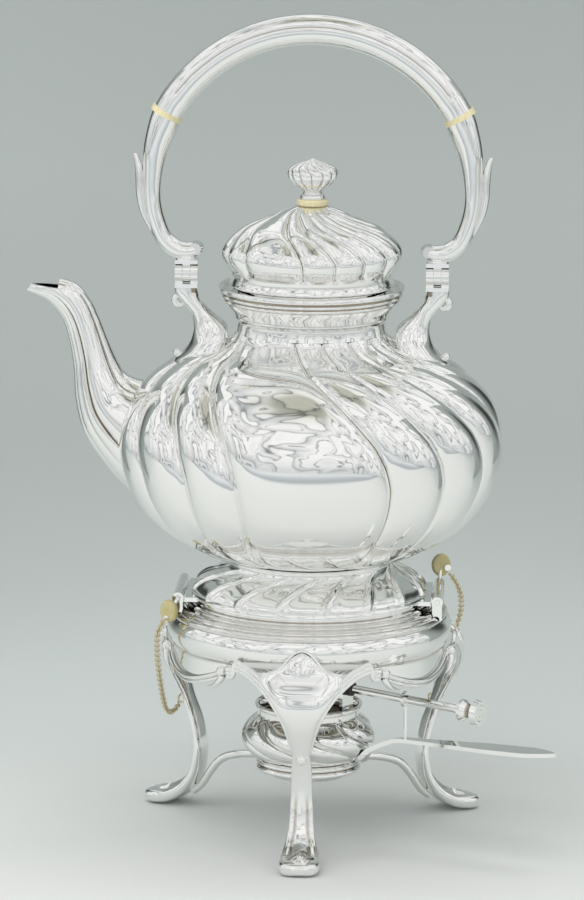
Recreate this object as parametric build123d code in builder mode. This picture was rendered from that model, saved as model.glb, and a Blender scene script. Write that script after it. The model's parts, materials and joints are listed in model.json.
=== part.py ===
from build123d import *
import math
import os

# A spirit kettle on its stand: a hinged silver kettle with a swan-neck spout and a falling bail,
# a three-legged stand, and a spirit lamp that sits in a ring between the legs.
# Millimetres. The origin is on the table at the stand's centre, +Z up, -X towards the spout,
# -Y towards the front leg.

os.makedirs("parts", exist_ok=True)

# ---- Driving dimensions ---------------------------------------------------------------------

# Fits
RUN_GAP = 0.06  # radial clearance of a pin in a knuckle that turns on it
SIDE_GAP = 0.15  # gap between the end faces of two neighbouring knuckles
FREE_GAP = 0.3  # gap between pieces that move past each other
WALL = 1.2  # raised silver sheet

# Kettle body, an elliptical belly on a flat base
BELLY_CENTRE_R = 30.0  # radius of the circle that the belly's ellipse is centred on
BELLY_HALF_W = 57.0  # ellipse, outwards
BELLY_UP = 45.5  # ellipse, from the widest point to the shoulder
BELLY_DOWN = 51.0  # ellipse, from the widest point to the base
BELLY_TURN = 74.0  # degrees of the upper ellipse before the neck starts
NECK_R = 34.0
NECK_RISE = 52.0  # neck's top above the widest point
STRAINER_HOLE_R = 1.6
STRAINER_PITCH = 6.0

# Kettle foot and the moulding at its waist
SEAT_Z = 107.5  # top of the stand's ring, where the foot stands
FOOT_H = 16.9
FOOT_R = 52.6
FOOT_TOP_R = 35.5
WAIST_RING_W = 2.3  # how far the waist moulding stands out

# Collar at the kettle's mouth
COLLAR_H = 20.6
COLLAR_R = 41.0
MOUTH_R = 33.0
LIP_T = 1.4
WIRE_R = 0.9

# Lid
LID_SEAT_R = 36.5
LID_R = 40.0
LID_BELLY_H = 16.6  # lid's widest point above the lip
LID_SHOULDER_H = 23.0
LID_TOP_H = 36.0
LID_TOP_R = 7.6
BEZEL_H = 4.5
BEZEL_GAP = 0.8  # between the bezel and the mouth
INSULATOR_T = 3.0
INSULATOR_R = 7.0
KNOB_R = 10.7
KNOB_H = 18.3
KNOB_BELLY_H = 10.3  # knob's widest point above its seat
KNOB_FLANGE_R = 5.5
KNOB_NECK_R = 4.1
KNOB_FLANGE_T = 1.7
STUD_R = 1.5
NUT_T = 2.4
LID_HINGE_Y = 44.5  # behind the axis
LID_HINGE_RISE = 3.0  # hinge axis above the lip
LID_KNUCKLE_R = 2.2
LID_KNUCKLE_W = 4.0
LID_PIN_R = 1.0

# Bail and its hinges
BAIL_X = 56.2  # hinge centres, either side of the axis
BAIL_Z = 255.5
BAIL_KNUCKLE_R = 4.2
BAIL_KNUCKLE_W = 3.3
BAIL_PLATE_T = 1.8
BAIL_PLATE_HALF_Y = 4.2
BAIL_PIN_R = 1.3
ARCH_R = 74.4  # centreline of the grip
ARCH_DROP = 81.7  # arch's centre below the top of the grip
BAIL_TOP_Z = 372.9
GRIP_HALF_T = 7.0  # grip's half thickness along the arch's radius
GRIP_HALF_Y = 7.4
ARCH_END = 30.0  # degrees above level where the grip meets its insulators
BAIL_INSULATOR_T = 2.5

# Stand
LEG_AZIMUTHS = {"front": -90.0, "right": 30.0, "left": 150.0}
STAND_IN_R = 44.0  # opening over the flame
STAND_SEAT_R = 54.0
STAND_R = 62.6
STAND_RING_T = 2.4
BAND_R = 62.6  # apron's top and bottom edge
BAND_BULGE = 1.8
BAND_TOP_Z = 100.6
BAND_LOW_Z = 79.0
BORDER_W = 3.0
BORDER_T = 3.2
BALL_R = 2.5
BALL_ANGLE = 37.0  # balls of the border, either side of each leg
BALL_Z = 85.5
LEG_TOP_Z = 98.0
LEG_SHOULDER_HALF = 19.0
LEG_HALF_W = 4.6
TOE_R = 88.0
TOE_HALF_W = 9.2
TOE_LIFT_L = 4.0  # how far the toe runs on past the pad that it stands on
PAD_L = 10.0

# Hinges between kettle and stand
HINGE_X = 58.3
HINGE_Z = 110.4
HINGE_KNUCKLES = 5
HINGE_LENGTH = 40.0
KNUCKLE_R = 2.6
PIN_R = 1.15
LEAF_T = 2.0
THUMB_R = 5.2
THUMB_T = 3.2
CHAIN_LINK_R = 1.15
CHAIN_WIRE_R = 0.3

# Lamp holder
HOLDER_R = 23.4
HOLDER_IN_R = 19.9
HOLDER_LOW_Z = 28.4
HOLDER_TOP_Z = 33.2
STRETCHER_R = 1.9

# Lamp
LAMP_AZIMUTH = -30.0
BOWL_R = 30.6
BOWL_MID_Z = 43.5
BOWL_LOW_Z = 25.4
BOWL_TOP_Z = 54.0
BOWL_NECK_R = 23.0
BOWL_LOW_R = 19.4
RIM_H = 4.6
ROD_Z = 68.6  # regulator rod's height over the lamp's centre
ROD_DROP = 1.5  # degrees that the rod falls outwards
ROD_R = 1.9
ROD_LENGTH = 84.0
WICK_WHEEL_R = 3.0
WICK_WHEEL_W = 3.0
WICK_W = 12.6
WICK_T = 3.2
WICK_TOP_Z = 76.0
TUBE_TOP_Z = 73.0
TUBE_WALL = 0.8
HANDLE_TIP_R = 130.0
HANDLE_HALF_W = 6.2
EYE_R = 51.0  # distance from the lamp's centre to the rod's eye

# ---- Sizes that follow ----------------------------------------------------------------------

BELLY_Z = SEAT_Z + FOOT_H + 2.8 + BELLY_DOWN
BODY_BASE_Z = BELLY_Z - BELLY_DOWN
BELLY_R = BELLY_CENTRE_R + BELLY_HALF_W
NECK_Z = BELLY_Z + NECK_RISE
FOOT_TOP_Z = SEAT_Z + FOOT_H
LIP_Z = NECK_Z + COLLAR_H
LID_TOP_Z = LIP_Z + LID_TOP_H
KNOB_CROWN_H = KNOB_H - KNOB_BELLY_H
RING_LOW_Z = BAND_TOP_Z + 1.6  # foot of the ring's outer slope
ARCH_Z = BAIL_TOP_Z - ARCH_DROP
SOCKET_TOP_Z = BAIL_Z - BAIL_KNUCKLE_R - FREE_GAP - BAIL_PLATE_T
KNUCKLE_PITCH = HINGE_LENGTH / HINGE_KNUCKLES
LID_HINGE_Z = LIP_Z + LID_HINGE_RISE
SIDES = {"left": -1, "right": 1}


# ---- Helpers --------------------------------------------------------------------------------


def finish(piece, name):
    """Label a finished piece and write its STEP file."""
    piece.part.label = name
    export_step(piece.part, f"parts/{name}.step")


def radial(azimuth, r, z=0.0, across=0.0):
    """Point at radius r and height z along an azimuth, moved sideways by across."""
    a = math.radians(azimuth)
    return (r * math.cos(a) - across * math.sin(a), r * math.sin(a) + across * math.cos(a), z)


def radial_plane(azimuth):
    """Upright plane through the axis: local x runs outwards, local y up."""
    a = math.radians(azimuth)
    return Plane(origin=(0, 0, 0), x_dir=(math.cos(a), math.sin(a), 0), z_dir=(math.sin(a), -math.cos(a), 0))


def facing_plane(azimuth, r=0.0):
    """Upright plane square to an azimuth: local x runs round the axis, local y up."""
    a = math.radians(azimuth)
    return Plane(origin=radial(azimuth, r), x_dir=(-math.sin(a), math.cos(a), 0), z_dir=(math.cos(a), math.sin(a), 0))


def level_plane(x, y, z):
    """Horizontal plane with its origin at a point."""
    return Plane(origin=(x, y, z))


def aimed_plane(start, end):
    """Plane at start whose normal points at end."""
    return Plane(origin=start, z_dir=Vector(*end) - Vector(*start))


def body_outline(inset, top_z):
    """Closed half outline of the kettle body, drawn inset from its outer face."""
    half_w = BELLY_HALF_W - inset
    centre = (BELLY_CENTRE_R, BELLY_Z)
    lower = EllipticalCenterArc(centre, half_w, BELLY_DOWN - inset, 270, arc_size=90)
    upper = EllipticalCenterArc(centre, half_w, BELLY_UP - inset, 0, arc_size=BELLY_TURN)
    neck = Spline(upper @ 1, (NECK_R - inset, NECK_Z), tangents=[upper % 1, (-0.25, 1)])
    Polyline(neck @ 1, (NECK_R - inset, top_z), (0, top_z), (0, BODY_BASE_Z + inset), lower @ 0)


def knuckles(x, y_centre_list, width, z):
    """Barrels of a hinge along Y, centred on x and z."""
    for y in y_centre_list:
        with Locations(Location((x, y, z), (90, 0, 0))):
            Cylinder(KNUCKLE_R, width)


# ---- Kettle ---------------------------------------------------------------------------------

NECK_TOP_TRIM = 1.0  # how far cutting shapes run past a face

with BuildPart() as body_envelope:
    # Everything inside the body's outer face: it trims what is soldered on.
    with BuildSketch(Plane.XZ):
        with BuildLine():
            body_outline(0, NECK_Z + 0.01)
        make_face()
    revolve(axis=Axis.Z)

with BuildPart() as kettle_body:
    with BuildSketch(Plane.XZ):
        with BuildLine():
            body_outline(0, NECK_Z + 0.01)
        make_face()
    revolve(axis=Axis.Z)
    split(bisect_by=Plane.XY.offset(NECK_Z), keep=Keep.BOTTOM)
    with BuildSketch(Plane.XZ):
        with BuildLine():
            body_outline(WALL, NECK_Z + NECK_TOP_TRIM)
        make_face()
    revolve(axis=Axis.Z, mode=Mode.SUBTRACT)
    # Strainer behind the spout
    with BuildSketch(Plane.YZ.offset(-BELLY_R - 1)):
        with Locations((0, BELLY_Z + 6)):
            with HexLocations(STRAINER_PITCH / 2, 5, 4):
                Circle(STRAINER_HOLE_R)
    extrude(amount=BELLY_HALF_W / 2, mode=Mode.SUBTRACT)
finish(kettle_body, "kettle_body")

with BuildPart() as waist_ring:
    with BuildSketch(Plane.XZ):
        with BuildLine():
            under = Line((FOOT_TOP_R - 3, FOOT_TOP_Z), (FOOT_TOP_R, FOOT_TOP_Z))
            bulge = ThreePointArc(
                under @ 1,
                (FOOT_TOP_R + WAIST_RING_W, (FOOT_TOP_Z + BODY_BASE_Z) / 2),
                (FOOT_TOP_R - 1, BODY_BASE_Z + 0.2),
            )
            Polyline(bulge @ 1, (FOOT_TOP_R - 3, BODY_BASE_Z + 0.2), under @ 0)
        make_face()
    revolve(axis=Axis.Z)
    add(body_envelope.part, mode=Mode.SUBTRACT)
finish(waist_ring, "waist_ring")


def foot_outline(inset):
    """Outer or inner face of the flared foot, from its top to its rounded edge."""
    edge_z = SEAT_Z + 4.4
    return Spline(
        (FOOT_TOP_R - inset, FOOT_TOP_Z),
        (FOOT_TOP_R + 5 - inset, FOOT_TOP_Z - 4.6 - inset / 2),
        (FOOT_R - 5 - inset / 2, edge_z + 5.0 - inset),
        (FOOT_R - inset, edge_z),
        tangents=[(0.2, -1), (0, -1)],
    )


with BuildPart() as kettle_foot:
    with BuildSketch(Plane.XZ):
        with BuildLine():
            outer = foot_outline(0)
            inner = foot_outline(WALL)
            Line(outer @ 0, inner @ 0)
            Polyline(outer @ 1, (FOOT_R - 0.4, SEAT_Z), (FOOT_R - WALL - 0.4, SEAT_Z), inner @ 1)
        make_face()
    revolve(axis=Axis.Z)
finish(kettle_foot, "kettle_foot")

with BuildPart() as neck_collar:
    # Flared wall, dished lip and rolled wire edge
    with BuildSketch(Plane.XZ):
        with BuildLine():
            flare = Spline(
                (NECK_R, NECK_Z),
                (NECK_R + 2.6, NECK_Z + COLLAR_H * 0.5),
                (COLLAR_R, LIP_Z - LIP_T),
                tangents=[(0.1, 1), (1, 0.9)],
            )
            Polyline(
                flare @ 1, (COLLAR_R, LIP_Z), (MOUTH_R + 0.6, LIP_Z), (MOUTH_R + 0.6, LIP_Z - LIP_T),
                (NECK_R + 3.0, LIP_Z - LIP_T - 1.4),
            )
            inner_wall = Spline(
                (NECK_R + 3.0, LIP_Z - LIP_T - 1.4), (NECK_R + 1.2, NECK_Z + COLLAR_H * 0.45),
                (NECK_R - WALL, NECK_Z), tangents=[(-0.4, -1), (-0.1, -1)],
            )
            Line(inner_wall @ 1, flare @ 0)
        make_face()
        with Locations((COLLAR_R, LIP_Z - WIRE_R)):
            Circle(WIRE_R)
        for step in range(3):
            with Locations(flare @ (0.62 + 0.12 * step)):
                Circle(0.5)
    revolve(axis=Axis.Z)
finish(neck_collar, "neck_collar")

# Swan-neck spout: (x, z) of the lower and upper side of each section, and its half width
SPOUT_SECTIONS = [
    ((-75.0, 152.0), (-66.0, 207.0), 25.0),
    ((-89.9, 164.8), (-76.5, 206.5), 20.0),
    ((-102.3, 181.8), (-83.0, 209.0), 15.0),
    ((-106.4, 197.0), (-87.6, 215.5), 11.5),
    ((-107.3, 213.0), (-91.6, 224.5), 9.0),
    ((-109.6, 226.5), (-95.4, 234.0), 7.6),
    ((-113.0, 235.5), (-99.6, 243.0), 7.0),
    ((-118.5, 241.6), (-106.5, 250.2), 6.8),
    ((-123.6, 244.4), (-117.0, 252.4), 5.0),
    ((-128.4, 246.3), (-125.4, 250.4), 2.4),
]
SPOUT_WALL = 1.3
MOUTH_FROM_X = -113.0  # the hood ends here and the pouring lip runs on
MOUTH_LIP_Z = 249.2


def spout_section(low, high):
    """Plane square to the spout's run, with local x across the spout, and half the section's height."""
    low, high = Vector(low[0], 0, low[1]), Vector(high[0], 0, high[1])
    up = (high - low).normalized()
    plane = Plane(origin=(low + high) / 2, x_dir=(0, 1, 0), z_dir=up.cross(Vector(0, 1, 0)))
    return plane, (high - low).length / 2


with BuildPart() as spout_bore:
    for low, high, half_width in SPOUT_SECTIONS:
        section, half_height = spout_section(low, high)
        with BuildSketch(section):
            Ellipse(half_width - SPOUT_WALL, half_height - SPOUT_WALL)
    loft()

with BuildPart() as spout:
    for low, high, half_width in SPOUT_SECTIONS:
        section, half_height = spout_section(low, high)
        with BuildSketch(section):
            Ellipse(half_width, half_height)
    loft()
    add(body_envelope.part, mode=Mode.SUBTRACT)
    add(spout_bore.part, mode=Mode.SUBTRACT)
    with BuildSketch(Plane.XZ):
        Polygon(
            (MOUTH_FROM_X, MOUTH_LIP_Z), (MOUTH_FROM_X - 11, MOUTH_LIP_Z + 0.3),
            (MOUTH_FROM_X - 20, MOUTH_LIP_Z - 3.4), (MOUTH_FROM_X - 20, MOUTH_LIP_Z + 8),
            (MOUTH_FROM_X, MOUTH_LIP_Z + 8), align=None,
        )
    extrude(amount=12, both=True, mode=Mode.SUBTRACT)
finish(spout, "spout")

# Bail sockets: height, centre distance from the axis, half width and half depth of each section
SOCKET_SECTIONS = [
    (0.0, BAIL_X, 5.4, 4.5),
    (-6.0, 52.5, 5.2, 4.3),
    (-11.0, 48.0, 5.6, 4.8),
    (-16.0, 44.6, 7.6, 6.4),
    (-24.0, 44.4, 10.0, 9.5),
    (-33.0, 46.5, 12.6, 12.5),
    (-44.0, 46.5, 12.6, 12.5),
]
SOCKET_TIP_BALL_R = 2.0
SOCKET_TIP_X = 58.6
SOCKET_TIP_Z = 220.0


def make_socket(side, way):
    """Bracket that carries one end of the bail, soldered to the kettle's shoulder."""
    with BuildPart() as socket:
        for drop, distance, half_w, half_y in SOCKET_SECTIONS:
            with BuildSketch(level_plane(way * distance, 0, SOCKET_TOP_Z + drop)):
                Ellipse(half_w, half_y)
        loft()
        with Locations((way * SOCKET_TIP_X, 0, SOCKET_TIP_Z)):
            Sphere(SOCKET_TIP_BALL_R)
        add(body_envelope.part, mode=Mode.SUBTRACT)
        add(neck_collar.part, mode=Mode.SUBTRACT)
    finish(socket, f"{side}_socket")


def make_lower_leaf(side, way):
    """Fixed leaf of a bail hinge: a plate with the two outer knuckles."""
    x = way * BAIL_X
    with BuildPart() as leaf:
        with Locations((x, 0, SOCKET_TOP_Z + BAIL_PLATE_T / 2)):
            Box(3 * BAIL_KNUCKLE_W + 2 * SIDE_GAP, 2 * BAIL_PLATE_HALF_Y, BAIL_PLATE_T)
        for out in (-1, 1):
            knuckle_x = x + out * (BAIL_KNUCKLE_W + SIDE_GAP)
            with Locations(Location((knuckle_x, 0, BAIL_Z), (0, 90, 0))):
                Cylinder(BAIL_KNUCKLE_R, BAIL_KNUCKLE_W)
            with Locations((knuckle_x, 0, SOCKET_TOP_Z + BAIL_PLATE_T)):
                Box(BAIL_KNUCKLE_W, BAIL_KNUCKLE_R, 2, align=(Align.CENTER, Align.CENTER, Align.MIN))
        with Locations(Location((x, 0, BAIL_Z), (0, 90, 0))):
            Cylinder(BAIL_PIN_R + RUN_GAP, 6 * BAIL_KNUCKLE_W, mode=Mode.SUBTRACT)
    finish(leaf, f"{side}_lower_leaf")


def make_upper_leaf(side, way):
    """Moving leaf of a bail hinge: a plate with the middle knuckle."""
    x = way * BAIL_X
    plate_z = BAIL_Z + BAIL_KNUCKLE_R + FREE_GAP
    with BuildPart() as leaf:
        with Locations((x, 0, plate_z + BAIL_PLATE_T / 2)):
            Box(3 * BAIL_KNUCKLE_W + 2 * SIDE_GAP, 2 * BAIL_PLATE_HALF_Y, BAIL_PLATE_T)
        with Locations(Location((x, 0, BAIL_Z), (0, 90, 0))):
            Cylinder(BAIL_KNUCKLE_R, BAIL_KNUCKLE_W)
        with Locations((x, 0, plate_z)):
            Box(BAIL_KNUCKLE_W, BAIL_KNUCKLE_R, 2, align=(Align.CENTER, Align.CENTER, Align.MAX))
        with Locations(Location((x, 0, BAIL_Z), (0, 90, 0))):
            Cylinder(BAIL_PIN_R, BAIL_KNUCKLE_W, mode=Mode.SUBTRACT)
    finish(leaf, f"{side}_upper_leaf")


def make_bail_pin(side, way):
    """Pin held by the middle knuckle, with its ends flush with the outer ones."""
    with BuildPart() as pin:
        with Locations(Location((way * BAIL_X, 0, BAIL_Z), (0, 90, 0))):
            Cylinder(BAIL_PIN_R, 3 * BAIL_KNUCKLE_W + 2 * SIDE_GAP)
    finish(pin, f"{side}_bail_pin")


for side, way in SIDES.items():
    make_socket(side, way)
    make_lower_leaf(side, way)
    make_upper_leaf(side, way)
    make_bail_pin(side, way)

# ---- Bail -----------------------------------------------------------------------------------

INSULATOR_SPAN = math.degrees(BAIL_INSULATOR_T / ARCH_R)


def arch_point(angle, r=ARCH_R):
    """Point of the arch at an angle above level, on the right-hand side."""
    a = math.radians(angle)
    return Vector(r * math.cos(a), 0, ARCH_Z + r * math.sin(a))


def arch_plane(angle, way):
    """Plane square to the arch at an angle, on the side that way names."""
    a = math.radians(angle)
    place = arch_point(angle)
    return Plane(
        origin=(way * place.X, 0, place.Z),
        x_dir=(way * math.cos(a), 0, math.sin(a)),
        z_dir=(way * math.sin(a), 0, -math.cos(a)),
    )


with BuildPart() as grip:
    with BuildLine(Plane.XZ) as arch:
        CenterArc((0, ARCH_Z), ARCH_R, ARCH_END, 180 - 2 * ARCH_END)
    with BuildSketch(arch_plane(ARCH_END, 1)):
        Ellipse(GRIP_HALF_T, GRIP_HALF_Y)
    sweep(path=arch.line)
finish(grip, "grip")

# Arms, from the insulators down to the hinges: distance from the axis, height, half thickness,
# half depth, and degrees that the run leans outwards from straight down
ARM_SECTIONS = [
    (69.6, 315.0, 5.9, 6.6, 16.0),
    (71.0, 303.0, 4.0, 5.6, 2.0),
    (70.8, 290.0, 2.9, 4.6, -3.0),
    (69.2, 279.5, 3.6, 4.6, -22.0),
    (64.6, 271.4, 4.2, 4.8, -58.0),
    (58.0, 267.6, 3.7, 5.0, -86.0),
    (52.0, 267.3, 3.4, 4.6, -96.0),
]
SPUR_ROOT = (72.0, 276.5)
SPUR_TIP = (78.2, 308.5)
SPUR_T = 1.3
SPUR_HALF_Y = 2.6
ARM_FOOT_R = 4.6


def make_insulator(side, way):
    """Ivory disc between the grip and an arm."""
    with BuildPart() as disc:
        with BuildSketch(arch_plane(ARCH_END - INSULATOR_SPAN, way)):
            Ellipse(GRIP_HALF_T + 0.5, GRIP_HALF_Y + 0.5)
        extrude(amount=-BAIL_INSULATOR_T)
        split(bisect_by=arch_plane(ARCH_END, way), keep=Keep.TOP)
    finish(disc, f"{side}_bail_insulator")


def make_arm(side, way):
    """Arm of the bail with the free-standing spur on its outer side."""
    plate_top = BAIL_Z + BAIL_KNUCKLE_R + FREE_GAP + BAIL_PLATE_T
    with BuildPart() as arm:
        with BuildSketch(arch_plane(ARCH_END - INSULATOR_SPAN, way)):
            Ellipse(GRIP_HALF_T, GRIP_HALF_Y)
        for distance, z, half_t, half_y, lean in ARM_SECTIONS:
            a = math.radians(lean)
            section = Plane(
                origin=(way * distance, 0, z),
                x_dir=(way * math.cos(a), 0, math.sin(a)),
                z_dir=(way * math.sin(a), 0, -math.cos(a)),
            )
            with BuildSketch(section):
                Ellipse(half_t, half_y)
        loft()
        with BuildSketch(level_plane(way * BAIL_X, 0, plate_top)):
            Circle(ARM_FOOT_R)
        extrude(amount=ARM_SECTIONS[-2][1] - plate_top)
        with BuildSketch(Plane.XZ):
            with BuildLine():
                Polyline((way * (SPUR_ROOT[0] - 2), SPUR_ROOT[1] - 1), (way * SPUR_ROOT[0], SPUR_ROOT[1] - 2))
                Spline(
                    (way * SPUR_ROOT[0], SPUR_ROOT[1] - 2), (way * (SPUR_ROOT[0] + 3.6), SPUR_ROOT[1] + 12),
                    (way * SPUR_TIP[0], SPUR_TIP[1]),
                )
                Spline(
                    (way * SPUR_TIP[0], SPUR_TIP[1]),
                    (way * (SPUR_ROOT[0] + 3.6 - SPUR_T), SPUR_ROOT[1] + 13),
                    (way * (SPUR_ROOT[0] - 2), SPUR_ROOT[1] - 1),
                )
            make_face()
        extrude(amount=SPUR_HALF_Y, both=True)
    finish(arm, f"{side}_arm")


for side, way in SIDES.items():
    make_insulator(side, way)
    make_arm(side, way)

# ---- Lid ------------------------------------------------------------------------------------


def lid_outline(inset):
    """Outer or inner face of the lid, from its seat up to the insulator."""
    seat_r, belly_r, top_r = LID_SEAT_R - inset, LID_R - inset, LID_TOP_R
    return Spline(
        (seat_r, LIP_Z),
        (belly_r, LIP_Z + LID_BELLY_H),
        (belly_r - 7.6, LIP_Z + LID_SHOULDER_H - inset),
        (belly_r - 18.4, LIP_Z + LID_SHOULDER_H + 4.4 - inset),
        (top_r, LID_TOP_Z - inset),
        tangents=[(0.3, 1), (-1, 0.62)],
    )


with BuildPart() as lid:
    with BuildSketch(Plane.XZ):
        with BuildLine():
            outer = lid_outline(0)
            inner = lid_outline(WALL)
            Polyline(outer @ 1, (STUD_R, LID_TOP_Z), (STUD_R, LID_TOP_Z - WALL), inner @ 1)
            Line(inner @ 0, outer @ 0)
        make_face()
    revolve(axis=Axis.Z)
finish(lid, "lid")

with BuildPart() as lid_bezel:
    # Ring under the lid that centres it in the mouth
    bezel_r = MOUTH_R + 0.6 - BEZEL_GAP
    with BuildSketch(Plane.XZ):
        Polygon(
            (bezel_r - WALL, LIP_Z - BEZEL_H), (bezel_r, LIP_Z - BEZEL_H), (bezel_r, LIP_Z + 0.4),
            (LID_SEAT_R - WALL, LIP_Z + 0.4), (LID_SEAT_R - WALL, LIP_Z + 1.4), (bezel_r - WALL, LIP_Z + 1.4), align=None,
        )
    revolve(axis=Axis.Z)
    add(lid.part, mode=Mode.SUBTRACT)
finish(lid_bezel, "lid_bezel")

with BuildPart() as knob_insulator:
    with BuildSketch(Plane.XY.offset(LID_TOP_Z)):
        Circle(INSULATOR_R)
        Circle(STUD_R, mode=Mode.SUBTRACT)
    extrude(amount=INSULATOR_T)
    outer_rims = knob_insulator.edges().filter_by(GeomType.CIRCLE).filter_by(lambda e: e.radius > STUD_R + 1)
    fillet(outer_rims, INSULATOR_T * 0.3)
finish(knob_insulator, "knob_insulator")

with BuildPart() as knob:
    # Onion knob on a short moulded stem, with the stud that runs down through the lid
    knob_z = LID_TOP_Z + INSULATOR_T
    belly_z = knob_z + KNOB_BELLY_H
    bowl_w = KNOB_R - KNOB_NECK_R - 0.6
    bowl_h = KNOB_BELLY_H * 0.56
    with BuildSketch(Plane.XZ):
        with BuildLine():
            stud_low_z = LID_TOP_Z - WALL - NUT_T
            flange_z = knob_z + KNOB_FLANGE_T
            Polyline((0, stud_low_z), (STUD_R, stud_low_z), (STUD_R, knob_z), (KNOB_FLANGE_R, knob_z))
            Line((KNOB_FLANGE_R, knob_z), (KNOB_FLANGE_R, flange_z))
            bowl = EllipticalCenterArc((KNOB_R - bowl_w, belly_z), bowl_w, bowl_h, 270, arc_size=90)
            neck_z = (flange_z + belly_z - bowl_h) / 2
            ThreePointArc((KNOB_FLANGE_R, flange_z), (KNOB_NECK_R, neck_z), bowl @ 0)
            crown = Spline(
                bowl @ 1, (KNOB_R * 0.72, belly_z + KNOB_CROWN_H * 0.55), (KNOB_R * 0.25, knob_z + KNOB_H * 0.94),
                (0, knob_z + KNOB_H),
                tangents=[(0, 1), (-1, 0.7)],
            )
            Line(crown @ 1, (0, stud_low_z))
        make_face()
    revolve(axis=Axis.Z)
finish(knob, "knob")

with BuildPart() as knob_nut:
    with BuildSketch(Plane.XY.offset(LID_TOP_Z - WALL)):
        RegularPolygon(STUD_R * 2.1, 6)
        Circle(STUD_R, mode=Mode.SUBTRACT)
    extrude(amount=-NUT_T)
finish(knob_nut, "knob_nut")


def lid_knuckles(places):
    """Barrels of the lid's hinge at places counted in knuckle widths from the middle."""
    for place in places:
        with Locations(Location((place * (LID_KNUCKLE_W + SIDE_GAP), LID_HINGE_Y, LID_HINGE_Z), (0, 90, 0))):
            Cylinder(LID_KNUCKLE_R, LID_KNUCKLE_W)


with BuildPart() as lid_hinge_seat:
    # Fixed knuckles on a bracket under the collar's lip
    for place in (-1, 1):
        with BuildSketch(Plane.YZ.offset(place * (LID_KNUCKLE_W + SIDE_GAP))):
            Polygon(
                (COLLAR_R - 4, LIP_Z - 5), (COLLAR_R - 1, LIP_Z - 6), (LID_HINGE_Y + LID_KNUCKLE_R, LIP_Z - 0.5),
                (LID_HINGE_Y + LID_KNUCKLE_R, LID_HINGE_Z), (LID_HINGE_Y - LID_KNUCKLE_R, LID_HINGE_Z),
                (LID_HINGE_Y - LID_KNUCKLE_R, LIP_Z - LIP_T), (COLLAR_R - 4, LIP_Z - LIP_T), align=None,
            )
        extrude(amount=LID_KNUCKLE_W / 2, both=True)
    lid_knuckles((-1, 1))
    with Locations(Location((0, LID_HINGE_Y, LID_HINGE_Z), (0, 90, 0))):
        Cylinder(LID_PIN_R + RUN_GAP, 5 * LID_KNUCKLE_W, mode=Mode.SUBTRACT)
    add(neck_collar.part, mode=Mode.SUBTRACT)
finish(lid_hinge_seat, "lid_hinge_seat")

with BuildPart() as lid_hinge_leaf:
    # Tongue from the back of the lid with the middle knuckle
    with BuildSketch(Plane.YZ):
        Polygon(
            (LID_SEAT_R - 1, LID_HINGE_Z + LID_KNUCKLE_R - 1.6), (LID_HINGE_Y, LID_HINGE_Z + LID_KNUCKLE_R - 1.6),
            (LID_HINGE_Y, LID_HINGE_Z + LID_KNUCKLE_R), (LID_SEAT_R - 1, LID_HINGE_Z + LID_KNUCKLE_R + 0.6), align=None,
        )
    extrude(amount=LID_KNUCKLE_W / 2, both=True)
    lid_knuckles((0,))
    with Locations(Location((0, LID_HINGE_Y, LID_HINGE_Z), (0, 90, 0))):
        Cylinder(LID_PIN_R, LID_KNUCKLE_W, mode=Mode.SUBTRACT)
    with BuildSketch(Plane.XZ):
        with BuildLine():
            face = lid_outline(0)
            Polyline(face @ 1, (0, LID_TOP_Z), (0, LIP_Z), face @ 0)
        make_face()
    revolve(axis=Axis.Z, mode=Mode.SUBTRACT)
finish(lid_hinge_leaf, "lid_hinge_leaf")

with BuildPart() as lid_hinge_pin:
    with Locations(Location((0, LID_HINGE_Y, LID_HINGE_Z), (0, 90, 0))):
        Cylinder(LID_PIN_R, 3 * LID_KNUCKLE_W + 2 * SIDE_GAP)
finish(lid_hinge_pin, "lid_hinge_pin")

# ---- Stand ----------------------------------------------------------------------------------

with BuildPart() as stand_ring:
    # Flat seat with three rounded mouldings stepping down outside it
    with BuildSketch(Plane.XZ):
        Polygon(
            (STAND_IN_R, SEAT_Z - STAND_RING_T), (STAND_IN_R, SEAT_Z), (STAND_SEAT_R, SEAT_Z),
            (STAND_R, RING_LOW_Z), (STAND_R, BAND_TOP_Z), (STAND_R - 3, BAND_TOP_Z),
            (STAND_SEAT_R - 1, SEAT_Z - STAND_RING_T), align=None,
        )
        for step in range(3):
            share = (step + 0.5) / 3
            with Locations((
                STAND_SEAT_R + share * (STAND_R - STAND_SEAT_R),
                SEAT_Z - 0.5 + share * (RING_LOW_Z - SEAT_Z),
            )):
                Circle(1.5)
    revolve(axis=Axis.Z)
finish(stand_ring, "stand_ring")

BAND_MID_Z = (BAND_TOP_Z + BAND_LOW_Z) / 2
BORDER_OUT_R = BAND_R - WALL + BORDER_T


def band_arc(inset):
    """Bulging upright line of the apron band, inset from its outer face."""
    return ThreePointArc(
        (BAND_R - inset, BAND_LOW_Z), (BAND_R + BAND_BULGE - inset, BAND_MID_Z), (BAND_R - inset, BAND_TOP_Z),
    )


SWAG_HALF_ANGLE = 60.0 - BALL_ANGLE
SWAG_HALF = BAND_R * math.sin(math.radians(SWAG_HALF_ANGLE))
SWAG_AZIMUTHS = [azimuth + 60.0 for azimuth in LEG_AZIMUTHS.values()]


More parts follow.
